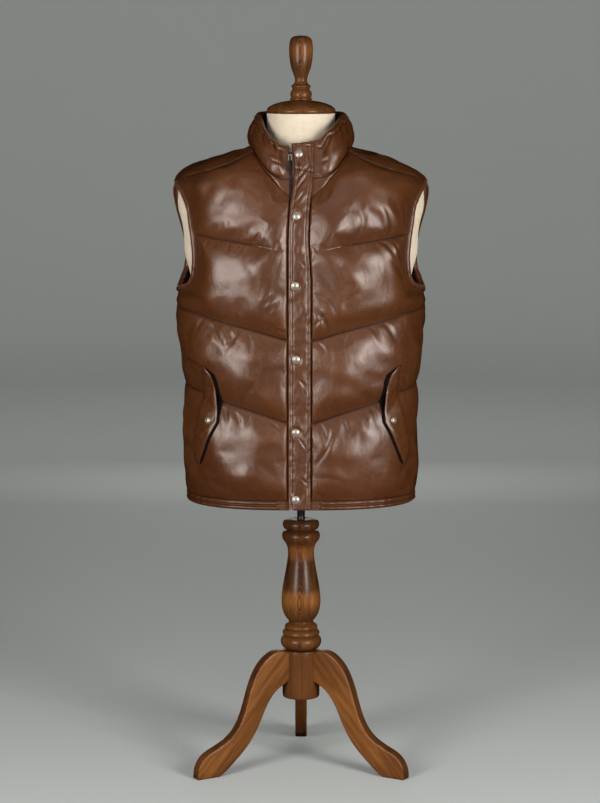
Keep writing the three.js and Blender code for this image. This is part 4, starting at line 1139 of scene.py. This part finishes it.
upFly = flyZ[:, 0]
flyWidth = placketLeft(upFly) - placketRight(upFly)
runs = [
    inset(flySurface, fly["rightStitch"], flyWidth),
    inset(flySurface, fly["leftStitch"], flyWidth, last=True),
    onGrid(flySurface[:, 3:-3], row=-3),
    onGrid(hemSurface, row=hemBand["rows"] // 2),
]
for side in (-1, 1):
    at, normal, outward = armholeRail(side)
    off, up = [middle + half * share for middle, half, share in zip(
        edging["middle"], edging["half"], edging["stitched"])]
    runs.append((at + outward * off + normal * up, normal))
stitch = {"pitch": 4.4, "size": (3.1, 0.75, 0.7)}
tooth = {"pitch": 2.4, "size": (1.25, 2.5, 1.5), "aside": 1.05, "lift": 4.9}
stitches = blocks("threadStitches", runs, stitch["pitch"], stitch["size"], "thread")
fit(stitches, None)

zipRows = np.linspace(502, 1129, 330)
zipTape = {"half": 3.5, "low": 2.8, "thick": 1.4}
tapeX = np.linspace(zipX - zipTape["half"], zipX + zipTape["half"], 5)
gridX, gridZ = np.meshgrid(tapeX, zipRows)
tape = wall("zipTape", frontPoint(gridX, gridZ, zipTape["low"] + zipTape["thick"] + 0 * gridX),
            frontPoint(gridX, gridZ, zipTape["low"] + 0 * gridX), ["lining"])
creaseEdges(tape)
fit(tape, "zip")
toothLine = frontPoint(zipX + 0 * zipRows, zipRows, 0 * zipRows + tooth["lift"])
toothOut = unit(toothLine - frontPoint(zipX + 0 * zipRows, zipRows, 0 * zipRows))
aside = np.array((tooth["aside"], 0, 0))
toothRuns = [(toothLine + aside, toothOut), (toothLine[::-1] - aside, toothOut[::-1])]
teeth = blocks("zipTeeth", toothRuns, tooth["pitch"], tooth["size"], "steel")
fit(teeth, None)
print("stitches and zip sewn")


# ---- hard pieces, turned on a lathe or cut from board

# cuts the corners of an open outline, apart from the ones to keep
def rounded(outline, times=2, keep=()):
    for _ in range(times):
        result = [outline[0]]
        for before, here, after in zip(outline[:-2], outline[1:-1], outline[2:]):
            if here in keep:
                result.append(here)
                continue
            result += [tuple(mix(np.array(here), np.array(end), 0.25)) for end in (before, after)]
        outline = result + [outline[-1]]
    return outline


# spins an outline of radius and height round the axis, which it starts and ends on
def turnedPiece(name, outline, steps, finishName):
    bpy.ops.object.select_all(action="DESELECT")
    bpy.ops.mesh.primitive_circle_add(vertices=len(outline), radius=1)
    piece = bpy.context.object
    piece.name = piece.data.name = name
    for vertex, (radius, height) in zip(piece.data.vertices, outline):
        vertex.co = (radius * mm, 0, height * mm)
    last = len(outline) - 1
    for edge in piece.data.edges:  # opens the circle along the axis
        edge.select = set(edge.vertices) == {0, last}
    for vertex in piece.data.vertices:
        vertex.select = False
    bpy.ops.object.mode_set(mode="EDIT")
    bpy.ops.mesh.select_mode(type="EDGE")
    bpy.ops.mesh.delete(type="EDGE_FACE")
    bpy.ops.mesh.select_mode(type="VERT")
    bpy.ops.mesh.select_all(action="SELECT")
    bpy.ops.mesh.spin(steps=steps, angle=2 * math.pi, center=(0, 0, 0), axis=(0, 0, 1))
    bpy.ops.mesh.select_all(action="SELECT")
    bpy.ops.mesh.remove_doubles(threshold=1e-5)
    bpy.ops.mesh.normals_make_consistent(inside=False)
    bpy.ops.object.mode_set(mode="OBJECT")
    piece.data.materials.append(finishes[finishName])
    return piece


def moved(piece, matrix):
    piece.data.transform(matrix)
    piece.data.update()
    return piece


# the way of the grain, and how light the wood is
def grained(piece, grain, tone):
    mark(piece.data, "grain", grain)
    mark(piece.data, "tone", tone)


def verticesOf(piece):
    flat = np.empty(3 * len(piece.data.vertices))
    piece.data.vertices.foreach_get("co", flat)
    return flat.reshape(-1, 3)


toAxis = Matrix.Translation((0, axisY, 0))
woodTones = table(
    "z tone",
    (100, 0.34), (160, 0.37), (212, 0.33), (218, 0.3), (232, 0.4), (250, 0.36), (262, 0.34), (272, 0.26),
    (288, 0.32), (300, 0.48), (311, 0.56), (322, 0.52), (328, 0.24), (345, 0.16), (382, 0.14), (388, 0.4),
    (404, 0.48), (416, 0.3), (436, 0.2), (460, 0.22), (1196, 0.28), (1208, 0.34), (1218, 0.34),
    (1228, 0.36), (1240, 0.31), (1256, 0.18), (1285, 0.24), (1308, 0.42), (1324, 0.26), (1334, 0.2))
toneAt = track(woodTones, "tone")
columnOutline = [
    (0, 239.7), (7.6, 239.7), (7.6, 458.6), (18, 459.4), (27, 458.4), (32, 455.5), (33.6, 450),
    (32.6, 444), (29.5, 440.6), (26, 439.4), (26, 438.2), (30.5, 437), (34, 433), (35, 427.5),
    (33.4, 421.5), (29.4, 416.5), (26, 411), (24.2, 403), (23.8, 394), (24.6, 384), (26.8, 370),
    (30, 353), (33, 336), (35.3, 319), (36, 306), (34.8, 293), (31.2, 281.5), (26, 273.5), (22.4, 270.2),
    (21.6, 268.6), (23.4, 267), (21.8, 265.4), (25.6, 263.6), (29.4, 260.8), (30.4, 257.4), (28.8, 254.6),
    (27, 253.6), (31.4, 252.2), (34, 248.6), (34, 245), (31.8, 242.2), (29.6, 241.2), (34.4, 239.6),
    (37.2, 235), (37.4, 229), (35.6, 223.4), (32, 219.4), (28, 216.6), (0, 216.4)]
capOutline = [
    (0, 1196.6), (59, 1196.6), (61.2, 1197.6), (61.9, 1200), (61.4, 1202.6), (59.8, 1205.2),
    (56.6, 1208), (51.6, 1210.8), (45, 1213.4), (37, 1215.6), (29, 1217.2), (22, 1218.2), (20, 1218.4),
    (0, 1218.4)]
finialOutline = [
    (0, 1218.6), (18.4, 1218.6), (20, 1219.6), (20.2, 1221.4), (18.8, 1222.8), (17.2, 1223.4),
    (18.6, 1224.8), (19.4, 1228), (19.2, 1232), (17.4, 1235.8), (14.8, 1237.4), (16, 1238.2),
    (16.4, 1239.4), (15, 1240.4), (16.8, 1241.6), (17.6, 1243.6), (16.6, 1245.6), (13.6, 1247.2),
    (11.6, 1250), (10.8, 1254), (11.4, 1259), (13.6, 1265.4), (16.6, 1273), (18.9, 1281.6), (20.5, 1291),
    (21.3, 1301), (21.3, 1312), (20.6, 1321), (18.8, 1327), (15.4, 1330.8), (9, 1333), (0, 1333.5)]
hubOutline = [
    (0, 126), (30, 126), (33.2, 127.2), (34, 130), (34, 150), (34, 180), (34, 214), (33.4, 216), (0, 216)]
turnings = table(
    "name node body finish outline",
    ("turnedColumn", "column", "stand", "wood", columnOutline),
    ("turnedCap", "neck_cap", "form", "wood", capOutline),
    ("turnedFinial", "finial", "form", "wood", finialOutline),
    ("turnedHub", "hub", "stand", "plainWood", hubOutline))
for row in turnings:
    sharp = [corner for corner in row["outline"] if corner[0] < 8]
    piece = turnedPiece(row["name"], rounded(row["outline"], 1, sharp), 80, row["finish"])
    at = verticesOf(piece)
    grained(piece, at, toneAt(at[:, 2] / mm))
    moved(piece, toAxis)
    creaseEdges(piece, 40)
    fit(piece, row["node"], row["body"])

rodOutline = [
    (0, 240), (6.4, 240), (7.2, 241), (7.2, 463), (7.0, 464), (7.0, 466), (7.2, 467), (7.2, 699),
    (6.4, 700), (0, 700)]
rod = moved(turnedPiece("poleRod", rodOutline, 48, "steel"), toAxis)
creaseEdges(rod, 40)
fit(rod, "pole", "mast")

heel, toe = (176, 0), (221, 0)
legOutline = [
    (30, 213), (48, 220.5), (66, 215.5), (84, 202.5), (98, 183.5), (109, 158), (117, 131), (126, 104),
    (138, 82), (156, 65), (179, 54), (200, 45), (212, 34), (220, 18), toe, heel, (160, 10), (143, 25),
    (124, 42), (107, 62), (93, 86), (82, 110), (71, 130), (57, 146), (42, 155), (30, 160)]
legBoard = {
    "thick": 22, "round": 3.2, "turn": 60, "grainTilt": 48, "tone": 0.5, "edge": 0.2,
    "paintedFootShadow": (0.1, 0.5, 0.1),
}
soft = rounded(legOutline, 2, [toe, heel])
for number in range(3):
    bpy.ops.object.select_all(action="DESELECT")
    bpy.ops.mesh.primitive_circle_add(vertices=len(soft), radius=1, fill_type="NGON")
    leg = bpy.context.object
    leg.name = leg.data.name = f"cabrioleLeg_{number + 1}"
    for vertex, (reach, height) in zip(leg.data.vertices, soft):
        vertex.co = (reach * mm, legBoard["thick"] / 2 * mm, height * mm)
    bpy.ops.object.mode_set(mode="EDIT")
    bpy.ops.mesh.select_all(action="SELECT")
    bpy.ops.mesh.extrude_region_move(TRANSFORM_OT_translate={"value": (0, -legBoard["thick"] * mm, 0)})
    bpy.ops.mesh.select_all(action="SELECT")
    bpy.ops.mesh.normals_make_consistent(inside=False)
    bpy.ops.object.mode_set(mode="OBJECT")
    bevel = leg.modifiers.new("bevel", "BEVEL")
    bevel.width, bevel.segments, bevel.limit_method = legBoard["round"] * mm, 4, "ANGLE"
    bevel.angle_limit = math.radians(40)
    bpy.ops.object.modifier_apply(modifier="bevel")
    at = verticesOf(leg)
    tilt = math.radians(legBoard["grainTilt"])
    alongGrain = at[:, 0] * math.cos(tilt) - at[:, 2] * math.sin(tilt)
    acrossGrain = at[:, 0] * math.sin(tilt) + at[:, 2] * math.cos(tilt)
    grain = np.stack([acrossGrain + 0.31 * number, at[:, 1] + 0.17 * number, alongGrain], -1)
    rim = 1 - smooth(np.abs(at[:, 1]) / mm, 7.6, 10.9)
    # painted shadow: each leg's wood is darkened near the floor, the rear leg's most
    paintedFootShadow = 1 - smooth(at[:, 2] / mm, 2, 16)
    grained(leg, grain, legBoard["tone"] - legBoard["edge"] * rim - legBoard["paintedFootShadow"][number] * paintedFootShadow)
    leg.data.materials.append(finishes["wood"])
    turned = Matrix.Rotation(math.radians(-90 + legBoard["turn"] + 120 * number), 4, "Z")
    moved(leg, toAxis @ turned)
    creaseEdges(leg, 40)
    fit(leg, f"leg_{number + 1}", "stand")
print("stand turned and cut")


# ---- snaps: a domed cap with a rolled edge
snapShape = {
    "radius": 7.2, "flapRadius": 5.6, "height": 3.2,
    "outline": [(0, 0), (0.9, 0), (1, 0.16), (1, 0.34), (0.93, 0.5), (0.84, 0.44), (0.78, 0.5), (0.6, 0.8),
                (0.3, 0.97), (0, 1)],
}


def snapCap(name, radius, seat, normal, node):
    outline = [(radius * out, snapShape["height"] * up) for out, up in snapShape["outline"]]
    cap = turnedPiece(name, rounded(outline, 1), 36, "nickel")
    facing = Vector(normal).to_track_quat("Z", "Y").to_matrix().to_4x4()
    moved(cap, Matrix.Translation(Vector(seat) * mm + Vector((0, axisY, 0))) @ facing)
    creaseEdges(cap, 50)
    return fit(cap, node)


for number, row in enumerate(snapPlaces):
    near = np.abs(flyX - row["x"]) + np.abs(flyZ - row["z"])
    stop, column = np.unravel_index(np.argmin(near), near.shape)
    _, out = onGrid(flySurface, row=stop)
    out = unit(out[column - 4:column + 5].mean(0))
    snapCap(f"snapCap_{number + 1}", snapShape["radius"], flySurface[stop, column] + out * 0.3, out,
            f"snap_{number + 1}")
for side, word in ((-1, "right"), (1, "left")):
    surface, share, z = flapSurfaces[side]
    near = np.abs(share - 0.66) + np.abs(z - 659) / 100
    row, column = np.unravel_index(np.argmin(near), near.shape)
    _, out = onGrid(surface, row=row)
    snapCap(f"flapSnapCap_{word}", snapShape["flapRadius"], surface[row, column] + out[column] * 0.2,
            out[column], f"flap_snap_{word}")
for node, metal in (("zip_slider", "nickel"), ("zip_pull", "steel")):
    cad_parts[node].data.materials.clear()
    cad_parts[node].data.materials.append(finishes[metal])
print("snaps set")


# ---- the dress form
form = {
    "bottom": 560, "edge": 6, "slack": 17, "rest": 0.5, "frontSlack": 15, "loose": 980, "snug": 1070,
    "neck": 61, "neckLow": 1098, "neckHigh": 1148, "neckTop": 1196, "round": 144, "rows": 120,
    "bore": 7.6, "boreHeight": 140.3, "fuller": 10,
}
z = mix(form["bottom"], form["neckTop"], np.linspace(0, 1, form["rows"]))[:, None]
turn = np.linspace(0, 360, form["round"], endpoint=False)[None, :]
plain = bodyPoint(turn + 0 * z, z + 0 * turn)
ahead = form["frontSlack"] * np.maximum(np.cos(np.radians(turn)), 0)
slack = mix(form["slack"], form["rest"] + ahead, smooth(z, form["loose"], form["snug"])) + 0.8
turnedUnder = form["edge"] * np.exp(-(z - form["bottom"]) / 3)
# fuller at the armholes, so that the linen shows in them
fuller = form["fuller"] * smooth(np.abs(np.sin(np.radians(turn))), 0.6, 0.95) * smooth(z, 900, 955)
torso = np.hypot(plain[..., 0], plain[..., 1]) - slack - turnedUnder
torso = torso + fuller * (1 - smooth(z, 1020, form["snug"]))
reach = mix(torso, form["neck"], smooth(z, form["neckLow"], form["neckHigh"]))
# the cover's seams, in front and at both sides
fromSeam = np.minimum(folded(turn), np.minimum(np.abs(turn - 90), np.abs(turn - 270)))
reach = reach - 0.7 * np.exp(-(np.radians(fromSeam) * reach / 1.1) ** 2)
shell = points(reach * np.sin(np.radians(turn)), -reach * np.cos(np.radians(turn)), z)
bore = form["bore"] / np.hypot(shell[0, :, 0], shell[0, :, 1])
under = [shell[0] * np.array((1, 1, 0)) * mix(1, bore, t)[:, None] + np.array((0, 0, form["bottom"]))
         for t in (1.0, 0.6, 0.2)]
well = under[0] + np.array((0, 0, form["boreHeight"]))
lid = [shell[-1] * np.array((t, t, 0)) + np.array((0, 0, form["neckTop"])) for t in (0.97, 0.5, 0.02)]
rings = np.stack([well, *under, *shell, *lid])
count, around = rings.shape[:2]
index = np.arange(count * around).reshape(count, around)
on = np.roll(index, -1, 1)
faces = np.stack([index[:-1].ravel(), on[:-1].ravel(), on[1:].ravel(), index[1:].ravel()], -1).tolist()
faces += [index[-1].tolist(), index[0][::-1].tolist()]
dressForm = newMesh("linenForm", rings, faces, ["linen"])
creaseEdges(dressForm, 45)
fit(dressForm, "dress_form")
print("dress form covered")


# ---- the studio floor, which curves up into a wall all round
sweep = [(0, 0), (0.5, 0), (1.5, 0), (3, 0), (room["flat"], 0)]
for step in range(1, room["steps"] + 1):
    bend = math.pi / 2 * step / room["steps"]
    sweep.append((room["flat"] + room["bend"] * math.sin(bend), room["bend"] * (1 - math.cos(bend))))
sweep.append((room["flat"] + room["bend"], room["top"]))
sides = room["sides"]
ringTurns = np.linspace(0, 2 * math.pi, sides, endpoint=False)
ringPoints = [(0, 0, 0)] + [(r * math.cos(a), r * math.sin(a), h) for r, h in sweep[1:] for a in ringTurns]
floorFaces = [(0, 1 + i, 1 + (i + 1) % sides) for i in range(sides)]
for ring in range(len(sweep) - 2):
    for i in range(sides):
        a, b = 1 + sides * ring + i, 1 + sides * ring + (i + 1) % sides
        floorFaces.append((a, a + sides, b + sides, b))
floorMesh = bpy.data.meshes.new("paleFloor")
floorMesh.from_pydata(ringPoints, [], floorFaces)
floorMesh.materials.append(floorFinish.material)
floorMesh.polygons.foreach_set("use_smooth", [True] * len(floorMesh.polygons))
floor = linked("paleFloor", floorMesh)
floor.visible_glossy = False
